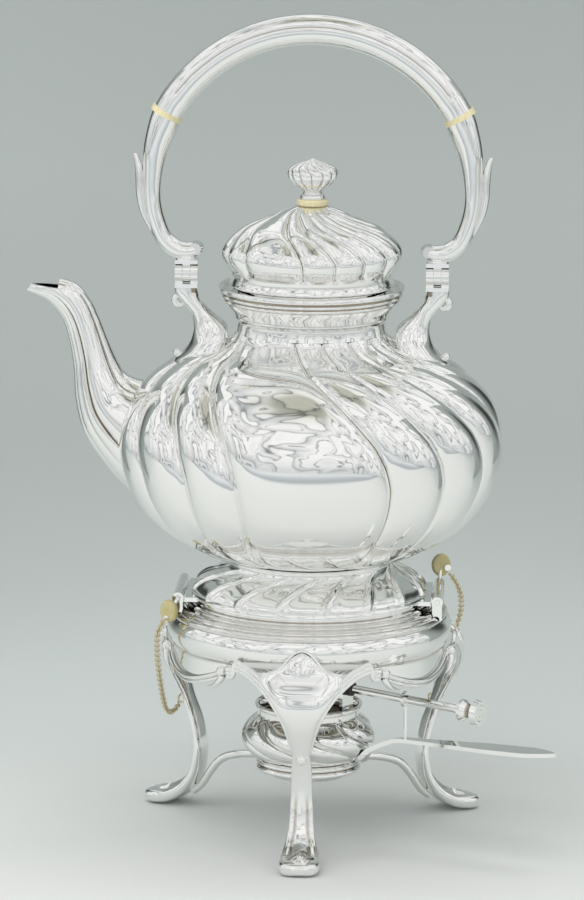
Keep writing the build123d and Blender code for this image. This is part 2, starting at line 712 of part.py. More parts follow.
with BuildPart() as stand_band:
    with BuildSketch(Plane.XZ):
        with BuildLine():
            outer = band_arc(0)
            inner = band_arc(WALL)
            Line(outer @ 0, inner @ 0)
            Line(outer @ 1, inner @ 1)
        make_face()
    revolve(axis=Axis.Z)
    # Between the balls of neighbouring bays the edge is cut up to the balls' height
    for azimuth in LEG_AZIMUTHS.values():
        with BuildSketch(facing_plane(azimuth)):
            with Locations((0, (BAND_LOW_Z + BALL_Z) / 2 - 1)):
                Rectangle(2 * BAND_R * math.sin(math.radians(BALL_ANGLE)), BALL_Z - BAND_LOW_Z + 2)
        extrude(amount=2 * BAND_R, mode=Mode.SUBTRACT)
    for azimuth in SWAG_AZIMUTHS:
        with BuildSketch(facing_plane(azimuth)):
            with BuildLine():
                low = ThreePointArc((-SWAG_HALF, BALL_Z), (0, BAND_LOW_Z), (SWAG_HALF, BALL_Z))
                Polyline(low @ 1, (SWAG_HALF, BAND_LOW_Z - 3), (-SWAG_HALF, BAND_LOW_Z - 3), low @ 0)
            make_face()
        extrude(amount=2 * BAND_R, mode=Mode.SUBTRACT)
finish(stand_band, "stand_band")

with BuildPart() as band_border:
    # Swag moulding that hangs between two balls in each bay
    for azimuth in SWAG_AZIMUTHS:
        with BuildSketch(facing_plane(azimuth)):
            with BuildLine():
                low = ThreePointArc((-SWAG_HALF, BALL_Z), (0, BAND_LOW_Z), (SWAG_HALF, BALL_Z))
                under = ThreePointArc(
                    (-SWAG_HALF, BALL_Z - BORDER_W), (0, BAND_LOW_Z - BORDER_W), (SWAG_HALF, BALL_Z - BORDER_W),
                )
                Line(low @ 0, under @ 0)
                Line(low @ 1, under @ 1)
            make_face()
        extrude(amount=2 * BAND_R)
    with BuildSketch(Plane.XZ):
        with Locations((BORDER_OUT_R - BORDER_T / 2, BAND_MID_Z)):
            Rectangle(BORDER_T, 2 * (BAND_TOP_Z - BAND_LOW_Z))
    revolve(axis=Axis.Z, mode=Mode.INTERSECT)
finish(band_border, "band_border")

with BuildPart() as border_balls:
    for azimuth in LEG_AZIMUTHS.values():
        for turn in (-BALL_ANGLE, BALL_ANGLE):
            face = facing_plane(azimuth + turn, BORDER_OUT_R).location
            with Locations(face * Location((0, BALL_Z - BALL_R * 0.4, 0))):
                Sphere(BALL_R, arc_size1=0, align=None)
finish(border_balls, "border_balls")

# Leg, from apex to toe in its own radial plane (r, z)
LEG_OUTER = [
    (69.0, 90.0), (76.2, 76.0), (71.0, 59.0), (63.2, 42.0), (60.6, 26.0), (TOE_R - 23.0, 14.5), (TOE_R - 14.0, 9.4),
]
LEG_INNER = [
    (66.5, 86.0), (71.8, 75.0), (67.0, 58.0), (60.0, 42.0), (57.4, 26.0), (TOE_R - 28.0, 12.0), (TOE_R - 21.0, 3.4),
]
LEG_APEX = (64.5, LEG_TOP_Z)
LEG_PAD_TO_R = TOE_R - TOE_LIFT_L
LEG_PAD_FROM_R = LEG_PAD_TO_R - PAD_L
TOE_TOP = (TOE_R - 6.0, 9.0)
LEG_BEAD_R = 2.6
LEG_BEAD_AT_R = 65.2
LEG_BEAD_Z = 46.5


def make_leg(name, azimuth):
    """Cabriole leg with its knee shield, cut to the apron band it is soldered to."""
    with BuildPart() as leg:
        with BuildSketch(radial_plane(azimuth)):
            with BuildLine():
                outer = Spline(LEG_APEX, *LEG_OUTER, TOE_TOP)
                toe = ThreePointArc(TOE_TOP, (TOE_R, 4.6), (LEG_PAD_TO_R, 0))
                Line(toe @ 1, (LEG_PAD_FROM_R, 0))
                Spline((LEG_PAD_FROM_R, 0), *reversed(LEG_INNER), (STAND_R - 0.5, LEG_TOP_Z - 4))
                Line((STAND_R - 0.5, LEG_TOP_Z - 4), outer @ 0)
            make_face()
        extrude(amount=LEG_SHOULDER_HALF + 1, both=True)
        # Front view: shield, taper, shank and rounded foot
        with BuildSketch(facing_plane(azimuth)):
            with BuildLine():
                right = Spline(
                    (0, LEG_TOP_Z + 0.5), (LEG_SHOULDER_HALF * 0.45, LEG_TOP_Z - 4),
                    (LEG_SHOULDER_HALF, LEG_TOP_Z - 9.5), (LEG_SHOULDER_HALF * 0.62, 77),
                    (LEG_HALF_W + 3.4, 64), (LEG_HALF_W, LEG_BEAD_Z), (LEG_HALF_W, 24), (TOE_HALF_W, 6.5),
                    (TOE_HALF_W, -1),
                )
                mirror(right, about=Plane.YZ)
                Line((TOE_HALF_W, -1), (-TOE_HALF_W, -1))
            make_face()
        extrude(amount=TOE_R + 5, mode=Mode.INTERSECT)
        with Locations(radial(azimuth, LEG_BEAD_AT_R, LEG_BEAD_Z)):
            Sphere(LEG_BEAD_R)
        with BuildSketch(Plane.XZ):
            with BuildLine():
                face = band_arc(0)
                Polyline(face @ 1, (0, BAND_TOP_Z), (0, BAND_LOW_Z), face @ 0)
            make_face()
        revolve(axis=Axis.Z, mode=Mode.SUBTRACT)
        add(band_border.part, mode=Mode.SUBTRACT)
        add(border_balls.part, mode=Mode.SUBTRACT)
    finish(leg, f"leg_{name}")
    return leg.part


legs = {name: make_leg(name, azimuth) for name, azimuth in LEG_AZIMUTHS.items()}

with BuildPart() as lamp_holder:
    # Moulded ring that the lamp drops into
    with BuildSketch(Plane.XZ):
        Polygon(
            (HOLDER_IN_R, HOLDER_LOW_Z), (HOLDER_R - 1, HOLDER_LOW_Z), (HOLDER_R - 1, HOLDER_TOP_Z),
            (HOLDER_IN_R, HOLDER_TOP_Z), align=None,
        )
        for z in (HOLDER_LOW_Z + 1.2, HOLDER_TOP_Z - 1.2):
            with Locations((HOLDER_R - 1.2, z)):
                Circle(1.2)
    revolve(axis=Axis.Z)
finish(lamp_holder, "lamp_holder")

STRETCHER_PATH = [(HOLDER_R - 1.5, 30.6), (31.0, 29.8), (47.0, 25.2), (TOE_R - 33.0, 16.5), (TOE_R - 26.0, 8.2)]


with BuildPart() as stretchers:
    # Curved rods from the lamp holder to the inside of each foot
    for name, azimuth in LEG_AZIMUTHS.items():
        with BuildLine(radial_plane(azimuth)):
            path = Spline(*STRETCHER_PATH)
        with BuildSketch(Plane(origin=path @ 0, z_dir=path % 0)):
            Circle(STRETCHER_R)
        sweep(path=path)
    add(lamp_holder.part, mode=Mode.SUBTRACT)
    for leg in legs.values():
        add(leg, mode=Mode.SUBTRACT)
finish(stretchers, "stretchers")

# ---- Hinges between kettle and stand --------------------------------------------------------


def knuckle_places(first):
    """Middles along Y of every second knuckle, counted from the front."""
    start = -HINGE_LENGTH / 2 + KNUCKLE_PITCH / 2
    return [start + KNUCKLE_PITCH * n for n in range(first, HINGE_KNUCKLES, 2)]


def make_stand_knuckles(side, way):
    """Knuckles fixed to the stand's ring."""
    with BuildPart() as hinge:
        for y in knuckle_places(0):
            with Locations((way * HINGE_X, y, HINGE_Z)):
                Box(
                    2 * KNUCKLE_R - 0.8, KNUCKLE_PITCH - SIDE_GAP, HINGE_Z - RING_LOW_Z,
                    align=(Align.CENTER, Align.CENTER, Align.MAX),
                )
        knuckles(way * HINGE_X, knuckle_places(0), KNUCKLE_PITCH - SIDE_GAP, HINGE_Z)
        with Locations(Location((way * HINGE_X, 0, HINGE_Z), (90, 0, 0))):
            Cylinder(PIN_R + RUN_GAP, 2 * HINGE_LENGTH, mode=Mode.SUBTRACT)
        # The blocks end on the ring's slope
        with BuildSketch(Plane.XZ):
            Polygon((0, SEAT_Z), (STAND_SEAT_R, SEAT_Z), (STAND_R, RING_LOW_Z), (0, RING_LOW_Z), align=None)
        revolve(axis=Axis.Z, mode=Mode.SUBTRACT)
        add(stand_ring.part, mode=Mode.SUBTRACT)
    finish(hinge, f"{side}_stand_knuckles")


def make_kettle_leaf(side, way):
    """Flat leaf from the kettle's foot with its knuckles; the right-hand ones are open below."""
    gap_r = KNUCKLE_R + FREE_GAP
    with BuildPart() as leaf:
        with Locations((way * (HINGE_X - gap_r), 0, HINGE_Z - 0.6)):
            Box(
                HINGE_X - gap_r - FOOT_R + 8, HINGE_LENGTH, LEAF_T,
                align=(Align.MAX if way > 0 else Align.MIN, Align.CENTER, Align.CENTER),
            )
        for y in knuckle_places(1):
            with Locations((way * HINGE_X, y, HINGE_Z - 0.6)):
                Box(
                    gap_r + 1, KNUCKLE_PITCH - SIDE_GAP, LEAF_T,
                    align=(Align.MAX if way > 0 else Align.MIN, Align.CENTER, Align.CENTER),
                )
        knuckles(way * HINGE_X, knuckle_places(1), KNUCKLE_PITCH - SIDE_GAP, HINGE_Z)
        with Locations(Location((way * HINGE_X, 0, HINGE_Z), (90, 0, 0))):
            Cylinder(PIN_R + RUN_GAP, 2 * HINGE_LENGTH, mode=Mode.SUBTRACT)
        if way > 0:
            with Locations((way * HINGE_X, 0, HINGE_Z)):
                Box(
                    2 * (PIN_R + 2 * RUN_GAP), 2 * HINGE_LENGTH, 3 * KNUCKLE_R,
                    align=(Align.CENTER, Align.CENTER, Align.MAX), mode=Mode.SUBTRACT,
                )
        with BuildSketch(Plane.XZ):
            with BuildLine():
                face = foot_outline(0)
                Polyline(face @ 1, (FOOT_R - 0.4, SEAT_Z), (0, SEAT_Z), (0, FOOT_TOP_Z), face @ 0)
            make_face()
        revolve(axis=Axis.Z, mode=Mode.SUBTRACT)
    finish(leaf, f"{side}_kettle_leaf")


for side, way in SIDES.items():
    make_stand_knuckles(side, way)
    make_kettle_leaf(side, way)

# Pull-out pins: where the ivory thumbpiece's centre lies from the pin's outer end, the way it
# faces, and which way the pin is pulled (-1 to the front)
PIN_HEADS = {
    "left": {"pull": -1, "offset": (-3.6, -2.4, -5.0), "faces": -120.0, "rivet": (0.0, -3.1)},
    "right": {"pull": 1, "offset": (0.6, 2.6, 7.6), "faces": -75.0, "rivet": (2.6, -1.0)},
}
PIN_PROUD = 2.0  # how far the pin's outer end stands out of the last knuckle
THUMB_STRETCH = 1.18  # thumbpiece's height over its width
RIVET_R = 1.5
RIVET_OUT = 0.8


def pin_head(side, way):
    """Outer end of a pin, centre of its thumbpiece and the upright plane the thumbpiece lies in."""
    head = PIN_HEADS[side]
    end = Vector(way * HINGE_X, head["pull"] * (HINGE_LENGTH / 2 + PIN_PROUD), HINGE_Z)
    centre = end + Vector(*head["offset"])
    a = math.radians(head["faces"])
    plane = Plane(origin=centre, x_dir=(-math.sin(a), math.cos(a), 0), z_dir=(math.cos(a), math.sin(a), 0))
    return end, centre, plane


def make_pin(side, way):
    """Pull-out hinge pin with the bent stem that carries its thumbpiece."""
    pull = PIN_HEADS[side]["pull"]
    end, centre, plane = pin_head(side, way)
    inner_end = Vector(end.X, -pull * HINGE_LENGTH / 2, end.Z)
    with BuildPart() as pin:
        with BuildSketch(aimed_plane(inner_end, end)):
            Circle(PIN_R)
        extrude(amount=(end - inner_end).length)
        with Locations(end):
            Sphere(PIN_R)
        with BuildSketch(aimed_plane(end, centre)):
            Circle(PIN_R * 0.8)
        extrude(amount=(centre - end).length)
    finish(pin, f"{side}_pin")
    with BuildPart() as thumb:
        with BuildSketch(plane):
            Ellipse(THUMB_R / THUMB_STRETCH, THUMB_R)
        extrude(amount=THUMB_T / 2, both=True)
        fillet(thumb.edges(), THUMB_T * 0.4)
        add(pin.part, mode=Mode.SUBTRACT)
    with BuildPart() as rivet:
        with BuildSketch(plane.offset(-THUMB_T / 2 - RIVET_OUT)):
            with Locations(PIN_HEADS[side]["rivet"]):
                Circle(RIVET_R * 0.55)
        extrude(amount=THUMB_T + 2 * RIVET_OUT)
        with BuildSketch(plane.offset(THUMB_T / 2)):
            with Locations(PIN_HEADS[side]["rivet"]):
                Circle(RIVET_R)
        extrude(amount=RIVET_OUT)
        with BuildSketch(plane.offset(-THUMB_T / 2)):
            with Locations(PIN_HEADS[side]["rivet"]):
                Circle(RIVET_R)
        extrude(amount=-RIVET_OUT)
    with BuildPart() as drilled_thumb:
        add(thumb.part)
        add(rivet.part, mode=Mode.SUBTRACT)
    finish(drilled_thumb, f"{side}_thumbpiece")
    finish(rivet, f"{side}_thumb_rivet")


for side, way in SIDES.items():
    make_pin(side, way)

# Chains: a fine trace chain from each thumbpiece to an eye on the side of a leg
CHAIN_ROUTES = {
    "left": [
        (-63.9, -27.8, 102.0), (-66.8, -24.4, 95.5), (-67.8, -18.0, 86.0), (-67.6, -10.0, 74.0), (-66.6, 0.0, 60.0),
        (-65.2, 9.0, 51.0), (-63.0, 18.0, 48.5), (-61.2, 24.8, 50.1),
    ],
    "right": [
        (63.4, 27.6, 112.5), (67.4, 35.5, 103.0), (67.6, 44.5, 91.0), (64.5, 50.0, 79.0),
        (61.0, 51.0, 67.0), (57.6, 48.5, 57.0), (55.2, 42.5, 51.6),
    ],
}
EYES = {"left": (-60.4, 28.0, 52.0), "right": (54.4, 38.8, 52.0)}
EYE_R_MEAN = 1.8
EYE_WIRE_R = 0.45


def make_chain(side):
    """Trace chain of round links, each turned a quarter from the last."""
    pitch = 2 * (CHAIN_LINK_R - CHAIN_WIRE_R) - 0.1
    with BuildLine():
        route = Spline(*CHAIN_ROUTES[side])
    count = int(route.length / pitch)
    with BuildPart() as chain:
        for n in range(count):
            share = n / (count - 1)
            along = route % share
            level = Vector(-along.Y, along.X, 0).normalized()
            across = level if n % 2 else along.cross(level)
            with Locations(Plane(origin=route @ share, x_dir=along, z_dir=across)):
                Torus(CHAIN_LINK_R, CHAIN_WIRE_R)
    finish(chain, f"{side}_chain")


for side in SIDES:
    make_chain(side)

with BuildPart() as chain_eyes:
    # Small rings soldered to the sides of the two rear legs
    for side, place in EYES.items():
        with Locations(Plane(origin=place, x_dir=(0, 0, 1), z_dir=radial(LEG_AZIMUTHS[side], 1))):
            Torus(EYE_R_MEAN, EYE_WIRE_R)
        add(legs[side], mode=Mode.SUBTRACT)
finish(chain_eyes, "chain_eyes")

# ---- Lamp -----------------------------------------------------------------------------------

LAMP = radial_plane(LAMP_AZIMUTH)
PLATE_Z = BOWL_TOP_Z - 2.5
PLATE_T = 1.0
TUBE_OFFSET = WICK_WHEEL_R + RUN_GAP + WICK_T / 2  # wick's middle, beside the regulator rod
BRACKET_R = BOWL_NECK_R - 3.6
ROD_WAY = (
    math.cos(math.radians(LAMP_AZIMUTH)) * math.cos(math.radians(ROD_DROP)),
    math.sin(math.radians(LAMP_AZIMUTH)) * math.cos(math.radians(ROD_DROP)),
    -math.sin(math.radians(ROD_DROP)),
)


def rod_plane(r):
    """Plane square to the regulator rod, at a distance from the lamp's centre; local y is up."""
    start = Vector(0, 0, ROD_Z) + Vector(*ROD_WAY) * r
    across = Vector(0, 0, 1).cross(Vector(*ROD_WAY))
    return Plane(origin=start, x_dir=across, z_dir=ROD_WAY)


def bowl_outline(inset):
    """Outer or inner face of the bowl, from its base ring up to its neck."""
    return Spline(
        (BOWL_LOW_R + 2.4 - inset, HOLDER_TOP_Z + inset * 0.4),
        (BOWL_R - inset, BOWL_MID_Z),
        (BOWL_NECK_R - inset, BOWL_TOP_Z),
        tangents=[(1, 0.35), (-0.75, 1)],
    )


with BuildPart() as lamp_bowl:
    # Bowl that hangs by its shoulder in the holder, with a shallow cup below it
    with BuildSketch(Plane.XZ):
        with BuildLine():
            outer = bowl_outline(0)
            inner = bowl_outline(WALL)
            Line(outer @ 1, inner @ 1)
            Polyline(
                inner @ 0, (BOWL_LOW_R - WALL, HOLDER_TOP_Z + WALL), (BOWL_LOW_R - WALL, BOWL_LOW_Z + WALL),
                (0, BOWL_LOW_Z + WALL), (0, BOWL_LOW_Z), (BOWL_LOW_R - 2, BOWL_LOW_Z),
                (BOWL_LOW_R, BOWL_LOW_Z + 2), (BOWL_LOW_R, HOLDER_TOP_Z), outer @ 0,
            )
        make_face()
    revolve(axis=Axis.Z)
finish(lamp_bowl, "lamp_bowl")

with BuildPart() as lamp_rim:
    with BuildSketch(Plane.XZ):
        Polygon(
            (BOWL_NECK_R - WALL, BOWL_TOP_Z), (BOWL_NECK_R, BOWL_TOP_Z), (BOWL_NECK_R + 0.6, BOWL_TOP_Z + RIM_H),
            (BOWL_NECK_R - 0.6, BOWL_TOP_Z + RIM_H), align=None,
        )
        with Locations((BOWL_NECK_R + 0.5, BOWL_TOP_Z + RIM_H - 0.8)):
            Circle(1.1)
    revolve(axis=Axis.Z)
finish(lamp_rim, "lamp_rim")

with BuildPart() as burner_plate:
    # Recessed top plate with a slot for the wick tube
    with BuildSketch(Plane.XY.offset(PLATE_Z)):
        Circle(BOWL_NECK_R + 1)
    extrude(amount=-PLATE_T)
    with BuildSketch(Plane(origin=radial(LAMP_AZIMUTH, 0, PLATE_Z, TUBE_OFFSET), x_dir=radial(LAMP_AZIMUTH, 1))):
        Rectangle(WICK_W + 2 * (TUBE_WALL + RUN_GAP), WICK_T + 2 * (TUBE_WALL + RUN_GAP))
    extrude(amount=-2 * PLATE_T, mode=Mode.SUBTRACT)
    with BuildSketch(Plane.XZ):
        with BuildLine():
            edge = bowl_outline(WALL)
            Polyline(edge @ 1, (2 * BOWL_R, BOWL_TOP_Z), (2 * BOWL_R, (edge @ 0).Y), edge @ 0)
        make_face()
    revolve(axis=Axis.Z, mode=Mode.SUBTRACT)
finish(burner_plate, "burner_plate")


def wick_plane(z):
    """Horizontal plane over the wick, local x along the wick's broad faces."""
    return Plane(origin=radial(LAMP_AZIMUTH, 0, z, TUBE_OFFSET), x_dir=radial(LAMP_AZIMUTH, 1))


with BuildPart() as wick_tube:
    # Flat tube, with a window where the regulator's wheel reaches the wick
    low_z = BOWL_LOW_Z + WALL + 4
    with BuildSketch(wick_plane(low_z)):
        Rectangle(WICK_W + 2 * (TUBE_WALL + RUN_GAP), WICK_T + 2 * (TUBE_WALL + RUN_GAP))
        Rectangle(WICK_W + 2 * RUN_GAP, WICK_T + 2 * RUN_GAP, mode=Mode.SUBTRACT)
    extrude(amount=TUBE_TOP_Z - low_z)
    with BuildSketch(rod_plane(-WICK_WHEEL_W / 2 - FREE_GAP)):
        Circle(WICK_WHEEL_R + FREE_GAP)
    extrude(amount=WICK_WHEEL_W + 2 * FREE_GAP, mode=Mode.SUBTRACT)
finish(wick_tube, "wick_tube")

with BuildPart() as wick:
    with BuildSketch(wick_plane(low_z)):
        Rectangle(WICK_W, WICK_T)
    extrude(amount=WICK_TOP_Z - low_z)
finish(wick, "wick")

# Regulator: rod with the wick wheel at one end and the knob at the other
TURN_FLANGE_R = 4.9
TURN_WAIST_R = 2.6
TURN_DISC_R = 5.75
TURN_LENGTH = 12.0
ROD_END_R = 79.0

with BuildPart() as regulator_rod:
    with BuildSketch(rod_plane(-WICK_WHEEL_W / 2)):
        Circle(WICK_WHEEL_R)
    extrude(amount=WICK_WHEEL_W)
    with BuildSketch(rod_plane(-WICK_WHEEL_W / 2 - 1)):
        Circle(ROD_R)
    extrude(amount=ROD_END_R + WICK_WHEEL_W / 2 + 1)
finish(regulator_rod, "regulator_rod")

with BuildPart() as regulator_knob:
    # Flange, waist and end disc with two turned circles
    knob_sections = [
        (0.0, ROD_R + 0.6), (2.0, ROD_R + 0.6), (2.0, TURN_FLANGE_R), (3.4, TURN_FLANGE_R), (6.6, TURN_WAIST_R),
        (9.2, TURN_DISC_R), (TURN_LENGTH, TURN_DISC_R - 0.4), (TURN_LENGTH, 0), (0, 0),
    ]
    profile_plane = Plane(
        origin=rod_plane(ROD_END_R).origin, x_dir=ROD_WAY, z_dir=rod_plane(0).x_dir,
    )
    with BuildSketch(profile_plane):
        Polygon(*knob_sections, align=None)
        for groove_r in (1.6, 3.6):
            with Locations((TURN_LENGTH, groove_r)):
                Circle(0.25, mode=Mode.SUBTRACT)
    revolve(axis=Axis(rod_plane(0).origin, ROD_WAY))
finish(regulator_knob, "regulator_knob")

BEARING_R = 3.4
BEARING_T = 2.4
BRACKET_W = 9.0
BRACKET_T = 1.6
EYE_RING_R = 3.6
EYE_RING_T = 1.6
POST_R = 0.8

with BuildPart() as rod_bracket:
    # Upright strip inside the rim that carries the rod's bearing
    with BuildSketch(facing_plane(LAMP_AZIMUTH, BRACKET_R)):
        with Locations((0, PLATE_Z)):
            Rectangle(BRACKET_W, ROD_Z - PLATE_Z, align=(Align.CENTER, Align.MIN))
        with Locations((0, ROD_Z - 0.5)):
            Circle(BRACKET_W / 2)
    extrude(amount=BRACKET_T)
    with BuildSketch(rod_plane(0)):
        Circle(ROD_R + RUN_GAP)
    extrude(amount=EYE_R, mode=Mode.SUBTRACT)
finish(rod_bracket, "rod_bracket")

with BuildPart() as rod_bearing:
    # Dark insulating collar outside the bracket
    with BuildSketch(rod_plane(BRACKET_R + BRACKET_T + 0.2)):
        Circle(BEARING_R)
        Circle(ROD_R + RUN_GAP, mode=Mode.SUBTRACT)
    extrude(amount=BEARING_T)
    add(rod_bracket.part, mode=Mode.SUBTRACT)
finish(rod_bearing, "rod_bearing")

HANDLE_ROOT = (BOWL_R - 2.4, 36.6)
HANDLE_BLADE_FROM = (EYE_R, 49.0)
HANDLE_BLADE_TO = (HANDLE_TIP_R, 53.6)
HANDLE_T = 1.8

with BuildPart() as lamp_handle:
    # Bent stem that widens into a flat leaf-shaped blade
    with BuildSketch(LAMP):
        with BuildLine():
            top = Spline(
                HANDLE_ROOT, (BOWL_R + 10, 46.0), HANDLE_BLADE_FROM, tangents=[(0.5, 1), (1, 0.06)],
            )
            blade_top = Line(top @ 1, HANDLE_BLADE_TO)
            tip = Line(blade_top @ 1, (HANDLE_TIP_R, HANDLE_BLADE_TO[1] - HANDLE_T))
            blade_low = Line(tip @ 1, (EYE_R, HANDLE_BLADE_FROM[1] - HANDLE_T))
            Spline(
                blade_low @ 1, (BOWL_R + 11.6, 44.4), (HANDLE_ROOT[0] + 1.4, HANDLE_ROOT[1] - 2),
                tangents=[(-1, -0.06), (-0.5, -1)],
            )
            Line((HANDLE_ROOT[0] + 1.4, HANDLE_ROOT[1] - 2), HANDLE_ROOT)
        make_face()
    extrude(amount=HANDLE_HALF_W, both=True)
    with BuildSketch(Plane(origin=(0, 0, 20), x_dir=radial(LAMP_AZIMUTH, 1))):
        with BuildLine():
            side_line = Spline(
                (BOWL_R - 6, 3.4), (BOWL_R + 8, 2.2), (EYE_R + 8, 2.6), (EYE_R + 46, HANDLE_HALF_W),
                (HANDLE_TIP_R - 9, HANDLE_HALF_W * 0.78), (HANDLE_TIP_R, 0),
            )
            mirror(side_line, about=Plane.XZ)
            Line((BOWL_R - 6, 3.4), (BOWL_R - 6, -3.4))
        make_face()
    extrude(amount=60, mode=Mode.INTERSECT)
    add(lamp_bowl.part, mode=Mode.SUBTRACT)
finish(lamp_handle, "lamp_handle")

with BuildPart() as rod_eye:
    # Post on the handle with the ring that steadies the rod
    with BuildSketch(rod_plane(EYE_R)):
        Circle(EYE_RING_R)
        Circle(ROD_R + RUN_GAP, mode=Mode.SUBTRACT)
    extrude(amount=EYE_RING_T)
    eye_z = (rod_plane(EYE_R).origin).Z
    with BuildSketch(level_plane(*radial(LAMP_AZIMUTH, EYE_R + EYE_RING_T / 2, HANDLE_BLADE_FROM[1] + 0.05))):
        Circle(POST_R)
    extrude(amount=eye_z - EYE_RING_R + 0.6 - HANDLE_BLADE_FROM[1])
    add(lamp_handle.part, mode=Mode.SUBTRACT)
finish(rod_eye, "rod_eye")
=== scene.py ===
"""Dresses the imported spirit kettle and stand: raised and polished silver, ivory and cotton.

Sizes are in millimetres. A mesh is shaped in millimetres and brought to metres when it is finished,
so every finished piece has its place in its mesh and its object at the origin.
"""

from __future__ import annotations

import json
import logging
import math
from dataclasses import dataclass, field
from enum import Enum
from typing import Callable, Iterable, Sequence

import bpy
from mathutils import Matrix, Vector

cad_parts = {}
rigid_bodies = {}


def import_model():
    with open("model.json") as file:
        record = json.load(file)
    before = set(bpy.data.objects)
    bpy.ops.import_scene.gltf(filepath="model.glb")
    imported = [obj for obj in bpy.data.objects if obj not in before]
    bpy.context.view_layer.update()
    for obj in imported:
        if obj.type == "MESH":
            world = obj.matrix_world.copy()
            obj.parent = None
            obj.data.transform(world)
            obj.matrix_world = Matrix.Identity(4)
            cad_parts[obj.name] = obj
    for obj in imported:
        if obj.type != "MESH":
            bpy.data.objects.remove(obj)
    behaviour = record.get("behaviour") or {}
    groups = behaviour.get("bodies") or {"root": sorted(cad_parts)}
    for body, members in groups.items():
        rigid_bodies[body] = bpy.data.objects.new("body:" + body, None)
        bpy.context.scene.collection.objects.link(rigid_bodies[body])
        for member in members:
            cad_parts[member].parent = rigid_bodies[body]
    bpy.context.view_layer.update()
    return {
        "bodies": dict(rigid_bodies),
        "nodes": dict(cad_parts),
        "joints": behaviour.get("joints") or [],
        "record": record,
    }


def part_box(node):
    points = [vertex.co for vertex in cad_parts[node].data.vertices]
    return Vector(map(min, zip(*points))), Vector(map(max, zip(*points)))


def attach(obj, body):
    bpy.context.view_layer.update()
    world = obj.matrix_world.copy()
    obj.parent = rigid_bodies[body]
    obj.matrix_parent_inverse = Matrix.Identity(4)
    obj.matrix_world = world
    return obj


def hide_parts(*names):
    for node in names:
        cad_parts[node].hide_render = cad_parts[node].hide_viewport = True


MM = 0.001
IMAGE_HEIGHT = 900
# A point nearer the axis than this is a pole, in millimetres
POLE_R = 0.001
MIRROR_X = Matrix.Scale(-1, 4, (1, 0, 0))
# A Mix node's sockets for colours
MIX_FIRST, MIX_SECOND, MIX_RESULT = 6, 7, 2

log = logging.getLogger("kettle")

Object = bpy.types.Object
Socket = bpy.types.NodeSocket
Surface = Callable[[float, float], Vector]
Knot = tuple[float, float] | tuple[float, float, str]
CORNER = "corner"
Shades = Sequence[tuple[float, str]]


# ---- Small maths ----------------------------------------------------------------------------


def round_axis(turn: float, r: float, z: float) -> Vector:
    """Point at radius r and height z, turned right of the front by an angle in degrees."""
    a = math.radians(turn)
    return Vector((r * math.sin(a), -r * math.cos(a), z))


def smooth_step(value: float, low: float, high: float) -> float:
    """Share from 0 at low to 1 at high, with level ends."""
    share = min(1.0, max(0.0, (value - low) / (high - low)))
    return share * share * (3.0 - 2.0 * share)


@dataclass(frozen=True)
class Track:
    """A smooth line through rows of numbers, read by a place from the first to the last row."""

    rows: Sequence[Sequence[float]]

    def at(self, place: float) -> list[float]:
        """Row at a place counted in rows, on a Catmull-Rom curve.

        Args:
            place: 0 at the first row, one more at each row.

        Returns:
            The row's numbers.
        """
        last = len(self.rows) - 1
        place = min(float(last), max(0.0, place))
        n = min(int(place), last - 1)
        t = place - n
        before = self.rows[max(0, n - 1)]
        start, end = self.rows[n], self.rows[n + 1]
        after = self.rows[min(last, n + 2)]
        return [
            0.5 * (2 * b + (c - a) * t + (2 * a - 5 * b + 4 * c - d) * t**2 + (3 * b - a - 3 * c + d) * t**3)
            for a, b, c, d in zip(before, start, end, after)
        ]

    def share(self, share: float) -> list[float]:
        """Row at a share of the whole line."""
        return self.at(share * (len(self.rows) - 1))

    def points(self, count: int) -> list[list[float]]:
        """That many rows, evenly spread along the line."""
        return [self.share(n / (count - 1)) for n in range(count)]


@dataclass(frozen=True)
class Table:
    """Numbers read by height: level beyond its ends, eased between its rows."""

    rows: Sequence[tuple[float, float]]

    def at(self, z: float) -> float:
        """Value at a height."""
        rows = self.rows
        if z <= rows[0][0]:
            return rows[0][1]
        for n in range(1, len(rows)):
            if z <= rows[n][0]:
                place = n - 1 + (z - rows[n - 1][0]) / (rows[n][0] - rows[n - 1][0])
                return Track([(value,) for _, value in rows]).at(place)[0]
        return rows[-1][1]


# ---- Bench: what is done to any piece of metal ----------------------------------------------


def deselect_all() -> None:
    """Leave nothing selected, so that an operator acts on the next piece alone."""
    bpy.ops.object.select_all(action="DESELECT")


def pick(piece: Object) -> None:
    """Make one object the active and only selected one."""
    deselect_all()
    piece.select_set(True)
    bpy.context.view_layer.objects.active = piece


def edit(piece: Object, *steps: Callable[[], object]) -> None:
    """Run operators on a piece in edit mode with everything selected."""
    pick(piece)
    bpy.ops.object.mode_set(mode="EDIT")
    bpy.ops.mesh.select_all(action="SELECT")
    for step in steps:
        step()
    bpy.ops.object.mode_set(mode="OBJECT")


def merge_seams(distance: float = 0.002) -> Callable[[], object]:
    """Step that merges points closer than a distance."""
    return lambda: bpy.ops.mesh.remove_doubles(threshold=distance)


def face_outwards() -> object:
    """Step that turns every face outwards."""
    return bpy.ops.mesh.normals_make_consistent(inside=False)


def close_ends() -> object:
    """Step that caps open ends."""
    bpy.ops.mesh.select_all(action="DESELECT")
    bpy.ops.mesh.select_non_manifold()
    bpy.ops.mesh.edge_face_add()
    return bpy.ops.mesh.select_all(action="SELECT")


def apply_modifier(piece: Object, kind: str, **settings: object) -> None:
    """Add one modifier to a piece and apply it."""
    pick(piece)
    modifier = piece.modifiers.new(kind.lower(), kind)
    for key, value in settings.items():
        setattr(modifier, key, value)
    bpy.ops.object.modifier_apply(modifier=modifier.name)


def give_wall(piece: Object, thickness: float) -> None:
    """Turn a face into sheet metal, inwards from the face that shows."""
    apply_modifier(piece, "SOLIDIFY", thickness=thickness, offset=-1.0, use_even_offset=False)


